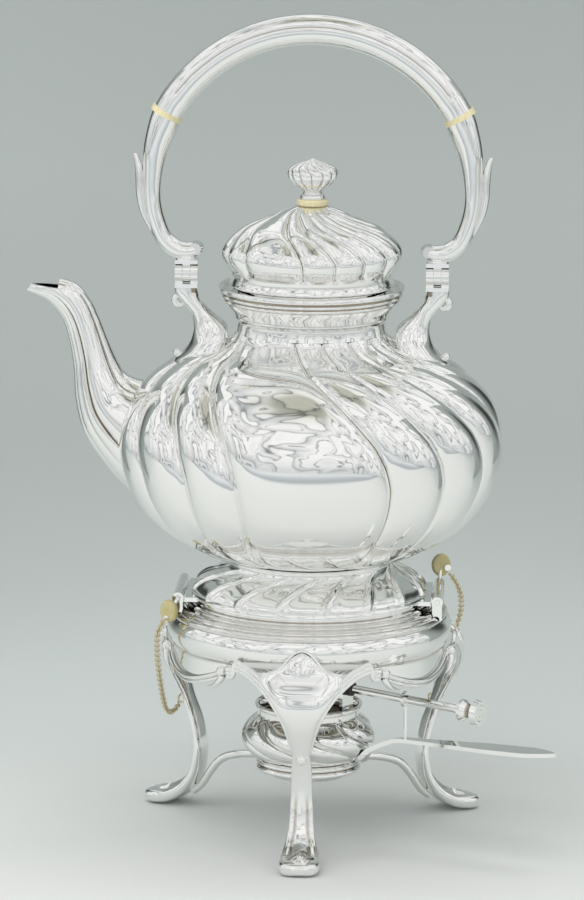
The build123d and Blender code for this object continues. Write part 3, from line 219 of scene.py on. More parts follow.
def shade_smooth(piece: Object, angle: float) -> None:
    """Shade a piece smooth where its faces meet at less than an angle in degrees."""
    pick(piece)
    bpy.ops.object.shade_smooth_by_angle(angle=math.radians(angle))


def finish_mesh(piece: Object, smooth_angle: float = 45.0) -> Object:
    """Bring a piece from millimetres to metres and shade it smooth up to an angle."""
    piece.data.transform(Matrix.Scale(MM, 4))
    shade_smooth(piece, smooth_angle)
    log.info("%s: %d faces", piece.name, len(piece.data.polygons))
    return piece


def curve_mesh(
    name: str, points: Sequence[Sequence[float]], kinds: Sequence[str], radii: Sequence[float], closed: bool,
    **settings: object,
) -> Object:
    """Run a curve through points and make it a mesh.

    Args:
        name: the piece's name.
        points: places on the curve, in millimetres.
        kinds: handle type at each point, AUTO where it runs smoothly and VECTOR where it bends.
        radii: radius at each point, for a curve with a bevel.
        closed: whether the curve runs back to its start.
        settings: the curve's own settings.

    Returns:
        The piece, in millimetres.
    """
    curve = bpy.data.curves.new(name, "CURVE")
    curve.dimensions = "3D"
    for key, value in settings.items():
        setattr(curve, key, value)
    spline = curve.splines.new("BEZIER")
    spline.bezier_points.add(len(points) - 1)
    spline.use_cyclic_u = closed
    for knot, point, kind, radius in zip(spline.bezier_points, points, kinds, radii):
        knot.co, knot.radius = point, radius
        knot.handle_left_type = knot.handle_right_type = kind
    line = bpy.data.objects.new(name, curve)
    bpy.context.collection.objects.link(line)
    pick(line)
    bpy.ops.object.convert(target="MESH")
    return bpy.context.object


def drawn_line(name: str, knots: Sequence[Knot], closed: bool, resolution: int) -> Object:
    """Profile in the XZ plane as a chain of edges: smooth through plain knots, bent at corners."""
    points = [(knot[0], 0.0, knot[1]) for knot in knots]
    kinds = ["VECTOR" if CORNER in knot[2:] else "AUTO" for knot in knots]
    return curve_mesh(name, points, kinds, [1.0] * len(knots), closed, resolution_u=resolution)


def turned(name: str, knots: Sequence[Knot], steps: int = 160, closed: bool = False, resolution: int = 8) -> Object:
    """Spin a profile round the Z axis, as on a lathe.

    Args:
        name: the piece's name.
        knots: (radius, height) along the profile, with CORNER added where it bends sharply.
        steps: faces round the axis.
        closed: whether the profile runs back to its start.
        resolution: edges from one knot to the next.

    Returns:
        The piece, in millimetres.
    """
    piece = drawn_line(name, knots, closed, resolution)
    edit(
        piece,
        lambda: bpy.ops.mesh.spin(
            steps=steps, dupli=False, angle=2 * math.pi, use_auto_merge=False, center=(0, 0, 0), axis=(0, 0, 1)
        ),
        merge_seams(),
        face_outwards,
    )
    return piece


def formed(name: str, around: int, along: int, surface: Surface, capped: bool = True) -> Object:
    """Form a flat grid over a shape and join its seam.

    Args:
        name: the piece's name.
        around: faces along the first parameter.
        along: faces along the second parameter.
        surface: point of the shape for two shares from 0 to 1.
        capped: whether open ends are closed.

    Returns:
        The piece, in millimetres.
    """
    deselect_all()
    bpy.ops.mesh.primitive_grid_add(x_subdivisions=around, y_subdivisions=along, size=1.0)
    piece = bpy.context.object
    piece.name = piece.data.name = name
    for vertex in piece.data.vertices:
        vertex.co = surface(vertex.co.x + 0.5, vertex.co.y + 0.5)
    steps: list[Callable[[], object]] = [merge_seams()]
    if capped:
        steps.append(close_ends)
    edit(piece, *steps, face_outwards)
    return piece


def bar(name: str, points: Sequence[Sequence[float]], radii: Sequence[float], sides: int = 4) -> Object:
    """Round bar or wire through points, with a radius at each and closed ends."""
    piece = curve_mesh(
        name, points, ["AUTO"] * len(points), radii, False,
        resolution_u=6, bevel_depth=1.0, bevel_resolution=sides, use_fill_caps=True,
    )
    edit(piece, merge_seams(), face_outwards)
    return piece


def bead(place: Sequence[float], radius: float, segments: int = 24, rings: int = 16) -> Object:
    """Round bead at a place, in millimetres."""
    deselect_all()
    bpy.ops.mesh.primitive_uv_sphere_add(segments=segments, ring_count=rings, radius=radius, location=place)
    bpy.ops.object.transform_apply(location=True)
    return bpy.context.object


def both_sides(half: Sequence[Sequence[float]]) -> list[tuple[float, float, float]]:
    """Line across the front, from (x, radius, height) of its right half that starts in the middle."""
    return [(-x, -r, z) for x, r, z in reversed(half)] + [(x, -r, z) for x, r, z in half[1:]]


def joined(name: str, pieces: Iterable[Object]) -> Object:
    """Join pieces that are soldered together into one object."""
    pieces = list(pieces)
    deselect_all()
    for piece in pieces:
        piece.select_set(True)
    bpy.context.view_layer.objects.active = pieces[0]
    if len(pieces) > 1:
        bpy.ops.object.join()
    pieces[0].name = pieces[0].data.name = name
    return pieces[0]


def moved_copy(piece: Object, name: str, move: Matrix) -> Object:
    """Copy of a piece with its own mesh, moved by a matrix, and facing outwards where that mirrors it."""
    pick(piece)
    bpy.ops.object.duplicate(linked=False)
    copy = bpy.context.object
    copy.name = copy.data.name = name
    copy.data.transform(move)
    if move.determinant() < 0:
        copy.data.flip_normals()
    return copy


# ---- Lobes: what a raising hammer and a chasing tool do to a round body -----------------------


def even_turns(first: float, count: int) -> list[float]:
    """Angles of a count of edges, evenly spaced round the axis."""
    return [first + n * 360.0 / count for n in range(count)]


@dataclass(frozen=True)
class Lobes:
    """Bulging lobes round a body, with a chased groove between each two."""

    edges: Sequence[float]
    columns: int
    depth: Table
    swirl: Table
    fullness: float = 2.3
    plain_fullness: float = 6.0
    notch: float = 0.5
    notch_width: float = 0.9
    # a lobe this many times wider than the narrowest is a plain panel
    plain_from: float = 1.4

    @property
    def steps(self) -> int:
        """Faces round the axis."""
        return self.columns * len(self.edges)

    def place(self, column: int) -> tuple[float, float, float]:
        """Where a column of points lies.

        Args:
            column: count of columns from the first groove.

        Returns:
            Degrees right of the front, the share from the lobe's middle to its edge, and the lobe's half width.
        """
        lobe = (column // self.columns) % len(self.edges)
        low = self.edges[lobe]
        high = self.edges[lobe + 1] if lobe + 1 < len(self.edges) else self.edges[0] + 360.0
        across = 2.0 * (column % self.columns) / self.columns - 1.0
        across = math.sin(0.5 * math.pi * across)
        half = 0.5 * (high - low)
        return 0.5 * (low + high) + across * half, across, half

    def raise_from(self, piece: Object) -> None:
        """Press the lobes into a spun body, along its own normals."""
        narrow = min(b - a for a, b in zip(self.edges, self.edges[1:]))
        mesh = piece.data
        normals = [vertex.normal.copy() for vertex in mesh.vertices]
        for vertex, normal in zip(mesh.vertices, normals):
            r = math.hypot(vertex.co.x, vertex.co.y)
            if r < POLE_R:
                continue
            out = (normal.x * vertex.co.x + normal.y * vertex.co.y) / r
            z = vertex.co.z
            spun = math.degrees(math.atan2(vertex.co.y, vertex.co.x)) % 360.0
            turn, across, half = self.place(round(spun * self.steps / 360.0) % self.steps)
            depth = self.depth.at(z)
            power = self.fullness if 2 * half < narrow * self.plain_from else self.plain_fullness
            from_edge = math.radians((1.0 - abs(across)) * half) * r
            groove = self.notch * math.exp(-((from_edge / self.notch_width) ** 2)) * min(1.0, depth)
            drop = depth * abs(across) ** power + groove
            vertex.co = round_axis(turn + self.swirl.at(z), r - out * drop, z - normal.z * drop)


# ---- Finishes -------------------------------------------------------------------------------


def linear(code: str) -> tuple[float, float, float, float]:
    """Linear colour of an sRGB hex value."""
    values = [int(code[n:n + 2], 16) / 255.0 for n in (1, 3, 5)]
    return (*[v / 12.92 if v <= 0.04045 else ((v + 0.055) / 1.055) ** 2.4 for v in values], 1.0)


def add_node(
    tree: bpy.types.NodeTree, kind: str, settings: dict[str, object] | None = None,
    links: dict[str, Socket] | None = None,
) -> bpy.types.Node:
    """Add a node with its settings and links.

    Args:
        tree: the tree that gets it.
        kind: the node's type.
        settings: properties, or inputs by name, and their values.
        links: inputs by name, and the outputs that feed them.

    Returns:
        The node.
    """
    node = tree.nodes.new(kind)
    for key, value in (settings or {}).items():
        if key in node.inputs:
            node.inputs[key].default_value = value
        else:
            setattr(node, key, value)
    for key, output in (links or {}).items():
        tree.links.new(output, node.inputs[key])
    return node


def set_ramp(ramp: bpy.types.Node, shades: Shades) -> None:
    """Give a colour ramp its places and hex colours."""
    elements = ramp.color_ramp.elements
    for element, (position, code) in zip(elements, (shades[0], shades[-1])):
        element.position, element.color = position, linear(code)
    for position, code in shades[1:-1]:
        elements.new(position).color = linear(code)


class Recipe:
    """A material under way, with the steps that most finishes share."""

    def __init__(self, name: str) -> None:
        """Start a material that reads Object coordinates."""
        self.material = bpy.data.materials.new(name)
        self.material.use_nodes = True
        self.tree = self.material.node_tree
        self.shader = self.tree.nodes["Principled BSDF"]
        self.place = add_node(self.tree, "ShaderNodeTexCoord").outputs["Object"]

    def axis(self, name: str) -> Socket:
        """One coordinate of the place, named X, Y or Z."""
        return add_node(self.tree, "ShaderNodeSeparateXYZ", links={"Vector": self.place}).outputs[name]

    def noise(self, pitch: float, place: Socket | None = None, **settings: float) -> Socket:
        """Noise whose grains lie a pitch in millimetres apart."""
        settings["Scale"] = 1.0 / (pitch * MM)
        return add_node(self.tree, "ShaderNodeTexNoise", settings, {"Vector": place or self.place}).outputs["Fac"]

    def mapped(self, value: Socket, low: float, high: float, to_low: float = 0.0, to_high: float = 1.0) -> Socket:
        """Value brought from one range to another."""
        ranges = {"From Min": low, "From Max": high, "To Min": to_low, "To Max": to_high}
        return add_node(self.tree, "ShaderNodeMapRange", ranges, {"Value": value}).outputs["Result"]

    def mix_colours(self, share: Socket, first: str, second: str) -> None:
        """Colour the surface between two hex colours."""
        mix = add_node(self.tree, "ShaderNodeMix", {"data_type": "RGBA"}, {"Factor": share})
        mix.inputs[MIX_FIRST].default_value = linear(first)
        mix.inputs[MIX_SECOND].default_value = linear(second)
        self.tree.links.new(mix.outputs[MIX_RESULT], self.shader.inputs["Base Color"])

    def ramp_colours(self, share: Socket, shades: Shades) -> None:
        """Colour the surface along a ramp of hex colours."""
        ramp = add_node(self.tree, "ShaderNodeValToRGB", links={"Fac": share})
        set_ramp(ramp, shades)
        self.tree.links.new(ramp.outputs["Color"], self.shader.inputs["Base Color"])

    def bump(self, height: Socket, strength: float, depth: float) -> None:
        """Give the surface relief, with a depth in millimetres."""
        settings = {"Strength": strength, "Distance": depth * MM}
        relief = add_node(self.tree, "ShaderNodeBump", settings, {"Height": height})
        self.tree.links.new(relief.outputs["Normal"], self.shader.inputs["Normal"])

    def give(self, values: dict[str, object]) -> None:
        """Set the shader's own inputs by name."""
        for key, value in values.items():
            self.shader.inputs[key].default_value = value


@dataclass(frozen=True)
class PolishedSilver:
    """Sterling, raised with a hammer and buffed to a mirror.

    A buffed face keeps a faint waviness of the planishing hammer and hairlines too fine to see one by one;
    the grooves, found by the surface's pointiness, are darkened brown as painted shade.
    """

    name: str = "polished_silver"
    metal: str = "#f6f6f4"
    # brown of the painted shade in the grooves
    groove_shade: str = "#8a7a5e"
    roughness: float = 0.055
    hammer_pitch: float = 9.0
    hammer_depth: float = 0.012
    hairline_pitch: float = 0.35
    groove_shade_share: float = 0.85
    groove_low: float = 0.455
    groove_high: float = 0.497

    def make(self) -> bpy.types.Material:
        """Build the material."""
        recipe = Recipe(self.name)
        # grooves darken towards the brown by pointiness: painted shade where the light doesn't reach
        crease = add_node(recipe.tree, "ShaderNodeNewGeometry").outputs["Pointiness"]
        in_groove = recipe.mapped(crease, self.groove_low, self.groove_high, self.groove_shade_share, 0.0)
        recipe.mix_colours(in_groove, self.metal, self.groove_shade)
        hairline = recipe.noise(self.hairline_pitch, Detail=2.0)
        gloss = recipe.mapped(hairline, 0.0, 1.0, self.roughness * 0.7, self.roughness * 1.3)
        recipe.tree.links.new(gloss, recipe.shader.inputs["Roughness"])
        hammer = recipe.noise(self.hammer_pitch, Detail=1.0, Roughness=0.3)
        recipe.bump(hammer, 0.35, self.hammer_depth)
        recipe.give({"Metallic": 1.0})
        return recipe.material


@dataclass(frozen=True)
class TurnedIvory:
    """Ivory, turned and rubbed: cream, a little waxy, with fine lengthwise grain and yellowed patches."""

    name: str = "turned_ivory"
    light: str = "#e6dfc0"
    dark: str = "#cfc08a"
    grain_pitch: float = 1.1
    roughness: float = 0.28

    def make(self) -> bpy.types.Material:
        """Build the material."""
        recipe = Recipe(self.name)
        along = add_node(recipe.tree, "ShaderNodeMapping", {"Scale": (1.0, 1.0, 0.25)}, {"Vector": recipe.place})
        grain = recipe.noise(self.grain_pitch, along.outputs["Vector"], Detail=3.0)
        recipe.mix_colours(grain, self.light, self.dark)
        recipe.bump(grain, 0.2, 0.05)
        recipe.give({
            "Roughness": self.roughness, "IOR": 1.54, "Subsurface Weight": 0.15,
            "Subsurface Radius": (0.002, 0.0015, 0.001),
        })
        return recipe.material


@dataclass(frozen=True)
class WovenCotton:
    """Flat lamp wick of plaited cotton, singed at its top."""

    name: str = "wick_cotton"
    clean: str = "#d8cfb8"
    singed: str = "#3a3128"
    thread_pitch: float = 0.9
    singed_from: float = 74.5
    singed_over: float = 1.2

    def make(self) -> bpy.types.Material:
        """Build the material."""
        recipe = Recipe(self.name)
        burn = recipe.mapped(recipe.axis("Z"), self.singed_from * MM, (self.singed_from + self.singed_over) * MM)
        recipe.mix_colours(burn, self.clean, self.singed)
        waves = {"Scale": 1.0 / (2 * math.pi * self.thread_pitch * MM), "Distortion": 1.5}
        threads = add_node(recipe.tree, "ShaderNodeTexWave", waves, {"Vector": recipe.place})
        recipe.bump(threads.outputs["Fac"], 0.6, 0.2)
        recipe.give({"Roughness": 0.9})
        return recipe.material


@dataclass(frozen=True)
class FiredFibre:
    """Dark heat-stopping collar, dull and slightly grainy."""

    name: str = "fibre_collar"
    colour: str = "#2a2420"
    grain_pitch: float = 0.6

    def make(self) -> bpy.types.Material:
        """Build the material."""
        recipe = Recipe(self.name)
        recipe.bump(recipe.noise(self.grain_pitch), 0.4, 0.05)
        recipe.give({"Base Color": linear(self.colour), "Roughness": 0.55})
        return recipe.material


class Finish(Enum):
    """The finishes on the object, each with the record's slot it belongs to."""

    SILVER = "silver"
    SPOUT_INSIDE = "silver_inside"
    CHAIN = "chain"
    IVORY = "ivory"
    THUMB_IVORY = "thumb_ivory"
    COLLAR = "dark_collar"
    WICK = "wick"


@dataclass
class Workshop:
    """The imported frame, the finishes, and what dressing a piece takes."""

    frame: dict
    materials: dict[Finish, bpy.types.Material] = field(default_factory=dict)

    def __post_init__(self) -> None:
        """Make the finishes."""
        self.materials = {
            # each silver's second colour is the brown painted shade in its grooves
            Finish.SILVER: PolishedSilver().make(),
            Finish.SPOUT_INSIDE: PolishedSilver("dull_silver", "#b9b2a2", "#5b4d38", 0.32).make(),
            Finish.CHAIN: PolishedSilver("worn_silver_gilt", "#e2d6b4", "#8d7a48", 0.16).make(),
            Finish.IVORY: TurnedIvory().make(),
            Finish.THUMB_IVORY: TurnedIvory("aged_ivory", "#cfc79a", "#a79a62", 0.9, 0.22).make(),
            Finish.COLLAR: FiredFibre().make(),
            Finish.WICK: WovenCotton().make(),
        }

    def levels(self, node: str) -> tuple[float, float, float]:
        """Base, top and reach to the right of a CAD node, in millimetres."""
        low, high = (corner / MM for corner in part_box(node))
        return low.z, high.z, high.x

    def coat(self, piece: Object, finish: Finish) -> None:
        """Give a piece one finish in place of any it had."""
        piece.data.materials.clear()
        piece.data.materials.append(self.materials[finish])

    def dress(self, piece: Object, body: str, *nodes: str) -> None:
        """Give a new piece of silver its finish and its body, and hide the CAD nodes that it stands for."""
        self.coat(piece, Finish.SILVER)
        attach(piece, body)
        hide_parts(*nodes)

    def raise_silver(
        self, name: str, knots: Sequence[Knot], lobes: Lobes, resolution: int, wall: float, body: str, node: str
    ) -> None:
        """Spin a body, press its lobes, give it its wall and dress it.

        Args:
            name: the piece's name.
            knots: the profile.
            lobes: what is pressed into it.
            resolution: edges from one knot to the next.
            wall: thickness of the metal, or 0 for a solid piece.
            body: the body that it rides on.
            node: the CAD node that it stands for.
        """
        piece = turned(name, knots, lobes.steps, resolution=resolution)
        lobes.raise_from(piece)
        if wall:
            give_wall(piece, wall)
        self.dress(finish_mesh(piece), body, node)

    def refinish(self, finish: Finish, *nodes: str, smooth_angle: float = 32.0) -> None:
        """Give CAD nodes whose shape is right their finish and smooth shading."""
        for name in nodes:
            piece = self.frame["nodes"][name]
            shade_smooth(piece, smooth_angle)
            self.coat(piece, finish)
            log.info("%s: %s", name, finish.name)


# ---- Kettle ---------------------------------------------------------------------------------


@dataclass
class Kettle:
    """Lobed body on a fluted foot, with its collar, spout and bail sockets."""

    shop: Workshop
    wall: float = 1.2
    belly_centre_r: float = 30.0
    belly_half_w: float = 57.0
    belly_up: float = 43.2
    belly_down: float = 53.3
    belly_tuck: float = 1.08
    belly_turn: float = 74.0
    neck_r: float = 34.0
    body_edges: tuple[float, ...] = (
        -20.7, 28.4, 49.4, 71.2, 93.0, 115.0, 137.0, 158.5, 208.0, 230.0, 252.0, 274.0, 297.0, 320.0,
    )
    body_swirl: Table = Table(
        [(127.0, -2.0), (150.0, 0.0), (170.0, 0.0), (180.0, -1.5), (188.0, -3.5), (194.0, -5.5), (200.0, -8.5),
         (206.0, -12.0), (212.0, -16.5), (217.0, -21.5), (221.0, -27.0), (225.0, -33.0), (230.0, -38.0)]
    )
    body_depth: Table = Table(
        [(127.5, 0.0), (131.0, 0.9), (140.0, 2.6), (160.0, 4.0), (178.0, 4.6), (200.0, 4.2), (214.0, 2.8),
         (223.0, 1.5), (230.2, 0.8)]
    )
    foot_turns: int = 16
    foot_first_edge: float = 9.5
    spout_wall: float = 1.1
    mouth_cut_place: tuple[float, float, float] = (-125.5, 0.0, 254.6)
    mouth_cut_size: tuple[float, float, float] = (25.0, 22.0, 10.0)
    mouth_cut_tilt: float = 6.0

    def build(self) -> None:
        """Build every piece of the kettle's fixed part."""
        self.base_z, self.neck_z, _ = self.shop.levels("kettle_body")
        self.belly_z = self.base_z + self.belly_down
        self.body()
        self.collar()
        self.foot()
        self.spout()
        self.sockets()
        self.shop.refinish(
            Finish.SILVER, "left_lower_leaf", "right_lower_leaf", "left_kettle_leaf", "right_kettle_leaf",
            "lid_hinge_seat",
        )

    def body(self) -> None:
        """Belly with two plain panels and twelve lobes that swirl up to the neck."""
        knots: list[Knot] = [(0.0, self.base_z, CORNER)]
        steps = 28
        for n in range(steps + 1):
            a = math.radians(-90.0 + (90.0 + self.belly_turn) * n / steps)
            rise = self.belly_down if a < 0 else self.belly_up
            reach = math.cos(a) ** (self.belly_tuck if a < 0 else 1.0)
            knots.append((self.belly_centre_r + self.belly_half_w * reach, self.belly_z + rise * math.sin(a)))
        knots += [(40.6, 224.4), (37.0, 226.6), (35.0, 228.4), (self.neck_r, self.neck_z)]
        lobes = Lobes(self.body_edges, 26, self.body_depth, self.body_swirl, notch=0.7)
        self.shop.raise_silver("kettle_belly", knots, lobes, 4, self.wall, "kettle", "kettle_body")

    def collar(self) -> None:
        """Throat and saucer lip with a rolled wire edge and three fine lines under it."""
        z, top, r = self.shop.levels("neck_collar")
        neck = self.neck_r
        knots: list[Knot] = [
            (neck - self.wall, z, CORNER), (neck, z, CORNER), (neck - 0.5, z + 2.6), (neck - 0.5, z + 4.8),
            (neck + 0.2, z + 6.2, CORNER), (neck + 0.7, z + 6.6), (neck + 0.8, z + 7.4, CORNER), (neck + 2.0, z + 9.2),
            (neck + 3.9, z + 11.6), (neck + 5.3, z + 14.0, CORNER), (neck + 5.9, z + 14.4),
            (neck + 5.8, z + 15.3, CORNER), (neck + 6.3, z + 16.0, CORNER), (neck + 6.9, z + 16.4),
            (neck + 6.8, z + 17.3, CORNER), (r - 0.9, z + 18.3, CORNER), (r - 0.1, z + 18.7), (r, z + 19.5),
            (r - 0.5, top - 0.1), (r - 1.4, top, CORNER), (r - 3.4, top - 1.3), (r - 5.4, top - 1.6),
            (neck + 0.2, top - 1.5, CORNER), (neck, top - 3.0, CORNER), (neck - 1.4, z + 7.0),
            (neck - self.wall - 0.2, z + 2.0),
        ]
        piece = turned("collar", knots, 192, closed=True, resolution=4)
        self.shop.dress(finish_mesh(piece, 40), "kettle", "neck_collar")

    def foot(self) -> None:
        """Spreading foot with swirled flutes over a rolled edge, and the moulding at its waist."""
        z, top, r = self.shop.levels("kettle_foot")
        knots: list[Knot] = [
            (35.0, top + 0.2), (36.0, top - 2.2), (38.6, top - 4.6), (42.6, top - 6.4), (46.4, top - 8.4),
            (49.4, top - 10.6), (50.8, top - 12.6), (50.9, z + 3.2, CORNER),
            (r - 0.9, z + 3.3), (r, z + 2.2), (r - 0.6, z + 0.7), (r - 1.6, z + 0.1, CORNER),
        ]
        lobes = Lobes(
            even_turns(self.foot_first_edge, self.foot_turns), 16,
            Table([(z + 3.2, 0.0), (z + 3.7, 1.0), (z + 7.0, 1.3), (top - 4.0, 0.9), (top, 0.5)]),
            Table([(z, 0.0), (z + 4.0, 0.4), (z + 8.0, 4.0), (z + 12.0, 13.0), (top, 26.0)]), fullness=3.4, notch=0.6,
        )
        self.shop.raise_silver("kettle_foot_flared", knots, lobes, 5, self.wall, "kettle", "kettle_foot")
        z, top, r = self.shop.levels("waist_ring")
        mid = (z + top) / 2
        ring: list[Knot] = [
            (r - 5.2, z + 0.1, CORNER), (r - 1.6, z, CORNER), (r - 0.3, mid - 0.8), (r, mid), (r - 0.3, mid + 0.8),
            (r - 1.8, top - 0.2, CORNER), (r - 5.2, top - 0.2, CORNER),
        ]
        piece = turned("waist_moulding", ring, 128, closed=True, resolution=5)
        self.shop.dress(finish_mesh(piece), "kettle", "waist_ring")

    def spout(self) -> None:
        """Swan-neck spout: fluted along its run, with an open pouring lip under a hood."""
        # x and z of the underside, x and z of the upper side, and half width, from the root to the lip
        stations = Track([
            (-72.0, 150.0, -66.0, 208.0, 25.0), (-82.5, 157.2, -70.5, 206.3, 23.0),
            (-91.5, 166.0, -76.5, 206.5, 19.8), (-102.3, 181.8, -83.0, 209.0, 14.8),
            (-106.2, 197.0, -87.4, 215.5, 11.4), (-107.2, 213.0, -91.4, 224.5, 9.0),
            (-109.6, 226.5, -95.2, 234.0, 7.6), (-113.0, 235.5, -99.6, 243.0, 7.0),
            (-118.5, 241.6, -106.3, 250.2, 6.6), (-123.6, 244.4, -116.6, 252.3, 5.0),
            (-128.4, 246.3, -125.4, 250.4, 2.4),
        ])
        grooves = (0.085, 0.155, 0.20, 0.405, 0.595, 0.80, 0.845, 0.915, 1.085)

        def surface(u: float, v: float) -> Vector:
            """Point of the spout, u round it and v along it."""
            low_x, low_z, high_x, high_z, half_w = stations.share(v)
            low, high = Vector((low_x, 0.0, low_z)), Vector((high_x, 0.0, high_z))
            a = 2 * math.pi * u
            seen = u if u >= grooves[0] else u + 1.0
            n = next(k for k in range(len(grooves) - 1) if seen <= grooves[k + 1])
            width = grooves[n + 1] - grooves[n]
            lobe = abs(2.0 * (seen - grooves[n]) / width - 1.0)
            fade = smooth_step(v, 0.06, 0.3) * (1.0 - 0.85 * smooth_step(v, 0.55, 0.95))
            shrink = 1.0 - min(0.13, 0.75 * width) * fade * lobe**3.2
            middle, up = (low + high) / 2, (high - low) / 2
            side = Vector((0.0, half_w, 0.0))
            return middle + (up * -math.cos(a) + side * math.sin(a)) * shrink

        piece = formed("swan_neck", 200, 130, surface, capped=False)
        give_wall(piece, self.spout_wall)
        self.open_mouth(piece)
        self.shop.dress(finish_mesh(piece), "kettle", "spout")

    def open_mouth(self, piece: Object) -> None:
        """Cut the spout's end open under its hood with a tilted block."""
        deselect_all()
        bpy.ops.mesh.primitive_cube_add(size=1.0, location=self.mouth_cut_place)
        block = bpy.context.object
        block.data.transform(Matrix.Diagonal((*self.mouth_cut_size, 1.0)))
        block.data.transform(Matrix.Rotation(math.radians(self.mouth_cut_tilt), 4, "Y"))
        pick(block)
        bpy.ops.object.transform_apply(location=True)
        apply_modifier(piece, "BOOLEAN", operation="DIFFERENCE", object=block, solver="EXACT")
        bpy.data.objects.remove(block)

    def sockets(self) -> None:
        """Scrolled brackets on the shoulder that carry the bail's hinges."""
        # outer x and z, inner x and z, and half width at each station from the hinge down
        stations = Track([
            (-61.6, 249.2, -51.4, 249.2, 4.3), (-61.4, 246.4, -50.9, 246.6, 4.4), (-59.4, 243.3, -49.2, 243.7, 4.4),
            (-56.9, 240.6, -46.4, 241.0, 4.5), (-54.2, 237.4, -43.6, 238.4, 4.8), (-52.6, 233.4, -40.4, 236.2, 5.8),
            (-52.4, 229.4, -37.2, 234.4, 7.4), (-53.6, 225.2, -34.8, 232.8, 9.4), (-56.4, 221.2, -33.8, 229.6, 11.4),
            (-60.0, 217.2, -33.4, 223.6, 12.8), (-60.4, 213.6, -33.6, 217.6, 12.8),
        ])

        def surface(u: float, v: float) -> Vector:
            """Point of the bracket, u round it and v down it."""
            out_x, out_z, in_x, in_z, half_y = stations.share(v)
            outer, inner = Vector((out_x, 0.0, out_z)), Vector((in_x, 0.0, in_z))
            a = 2 * math.pi * u
            middle, reach = (outer + inner) / 2, (outer - inner) / 2
            across = math.sin(a)
            hollow = 1.0 - 0.5 * smooth_step(v, 0.1, 0.35) * max(0.0, -math.cos(a)) ** 4
            crest = 1.0 + 0.10 * smooth_step(v, 0.2, 0.6) * max(0.0, math.cos(a)) ** 6
            return middle + reach * math.cos(a) * hollow * crest + Vector((0.0, half_y * across, 0.0))

        bracket = formed("socket_bracket", 56, 60, surface)
        ball = bead((-60.4, 0.0, 219.0), 1.9)
        curl = bar(
            "socket_curl", [(-57.6, 0, 241.2), (-59.8, 0, 241.0), (-61.4, 0, 243.0), (-60.6, 0, 245.6)],
            [1.0, 1.6, 1.8, 1.4],
        )
        left = joined("left_bracket", [bracket, ball, curl])
        right = moved_copy(left, "right_bracket", MIRROR_X)
        self.shop.dress(finish_mesh(left), "kettle", "left_socket")
        self.shop.dress(finish_mesh(right), "kettle", "right_socket")


# ---- Lid ------------------------------------------------------------------------------------


@dataclass
class Lid:
    """Lobed cushion lid with its onion knob."""

    shop: Workshop
    wide: float = 45.0
    narrow: float = 22.5
    first_edge: float = -49.5
    wall: float = 1.1
    knob_height: float = 18.3
    knob_lobes: int = 12

    def build(self) -> None:
        """Build every piece that lifts with the lid."""
        self.cover()
        self.knob()
        self.shop.refinish(Finish.IVORY, "knob_insulator")
        self.shop.refinish(Finish.SILVER, "lid_bezel", "knob_nut", "lid_hinge_leaf", "lid_hinge_pin")

    def edges(self) -> list[float]:
        """Grooves of the lid: a plain panel and six lobes, twice round."""
        found = [self.first_edge]
        for _ in range(2):
            found.append(found[-1] + self.wide)
            for _ in range(6):
                found.append(found[-1] + self.narrow)
        return found[:-1]

    def cover(self) -> None:
        """Domed cover over a plain cove."""
        z, top, _ = self.shop.levels("lid")
        knots: list[Knot] = [
            (36.4, z + 0.05, CORNER), (37.0, z + 0.6), (36.4, z + 2.2), (35.9, z + 4.2), (36.3, z + 6.1, CORNER),
            (37.8, z + 8.4), (39.9, z + 11.8), (40.6, z + 14.8), (39.4, z + 18.2), (37.1, z + 20.9), (34.0, z + 23.6),
            (29.8, z + 26.4), (23.9, z + 28.8), (17.8, z + 31.2), (12.6, z + 33.8), (8.2, top - 0.6),
            (6.9, top - 0.1, CORNER), (1.6, top, CORNER),
        ]
        lobes = Lobes(
            self.edges(), 22,
            Table([(z + 6.0, 0.0), (z + 7.0, 1.0), (z + 12.0, 2.2), (z + 17.0, 2.6), (z + 24.0, 2.2), (z + 30.0, 1.3),
                   (top - 1.0, 0.4), (top, 0.0)]),
            Table([(z, 1.0), (z + 10.0, 1.0), (z + 17.0, 0.0), (z + 22.0, -4.5), (z + 26.5, -14.0), (z + 31.0, -31.0),
                   (top, -52.0)]),
            notch=0.5,
        )
        self.shop.raise_silver("lid_cover", knots, lobes, 6, self.wall, "lid", "lid")

    def knob(self) -> None:
        """Fluted onion on a moulded stem."""
        z, top, _ = self.shop.levels("knob")
        seat = top - self.knob_height
        knots: list[Knot] = [
            (1.5, z, CORNER), (1.5, seat, CORNER), (5.5, seat, CORNER), (5.6, seat + 0.9), (5.3, seat + 1.7, CORNER),
            (4.4, seat + 2.5), (4.3, seat + 3.4), (5.4, seat + 4.5), (8.5, seat + 6.5), (10.4, seat + 8.6),
            (11.3, seat + 10.6), (11.4, seat + 12.0), (10.6, seat + 13.6), (8.0, seat + 15.2), (4.8, seat + 16.4),
            (2.3, seat + 17.3), (0.0, top, CORNER),
        ]
        lobes = Lobes(
            even_turns(0.0, self.knob_lobes), 12,
            Table([(seat + 3.6, 0.0), (seat + 5.0, 0.5), (seat + 11.0, 0.9), (seat + 15.0, 0.6), (top, 0.0)]),
            Table([(seat, 0.0), (seat + 11.0, 0.0), (seat + 14.0, -8.0), (top, -45.0)]), notch=0.3, notch_width=0.4,
        )
        self.shop.raise_silver("onion_knob", knots, lobes, 6, 0.0, "lid", "knob")


# ---- Bail -----------------------------------------------------------------------------------


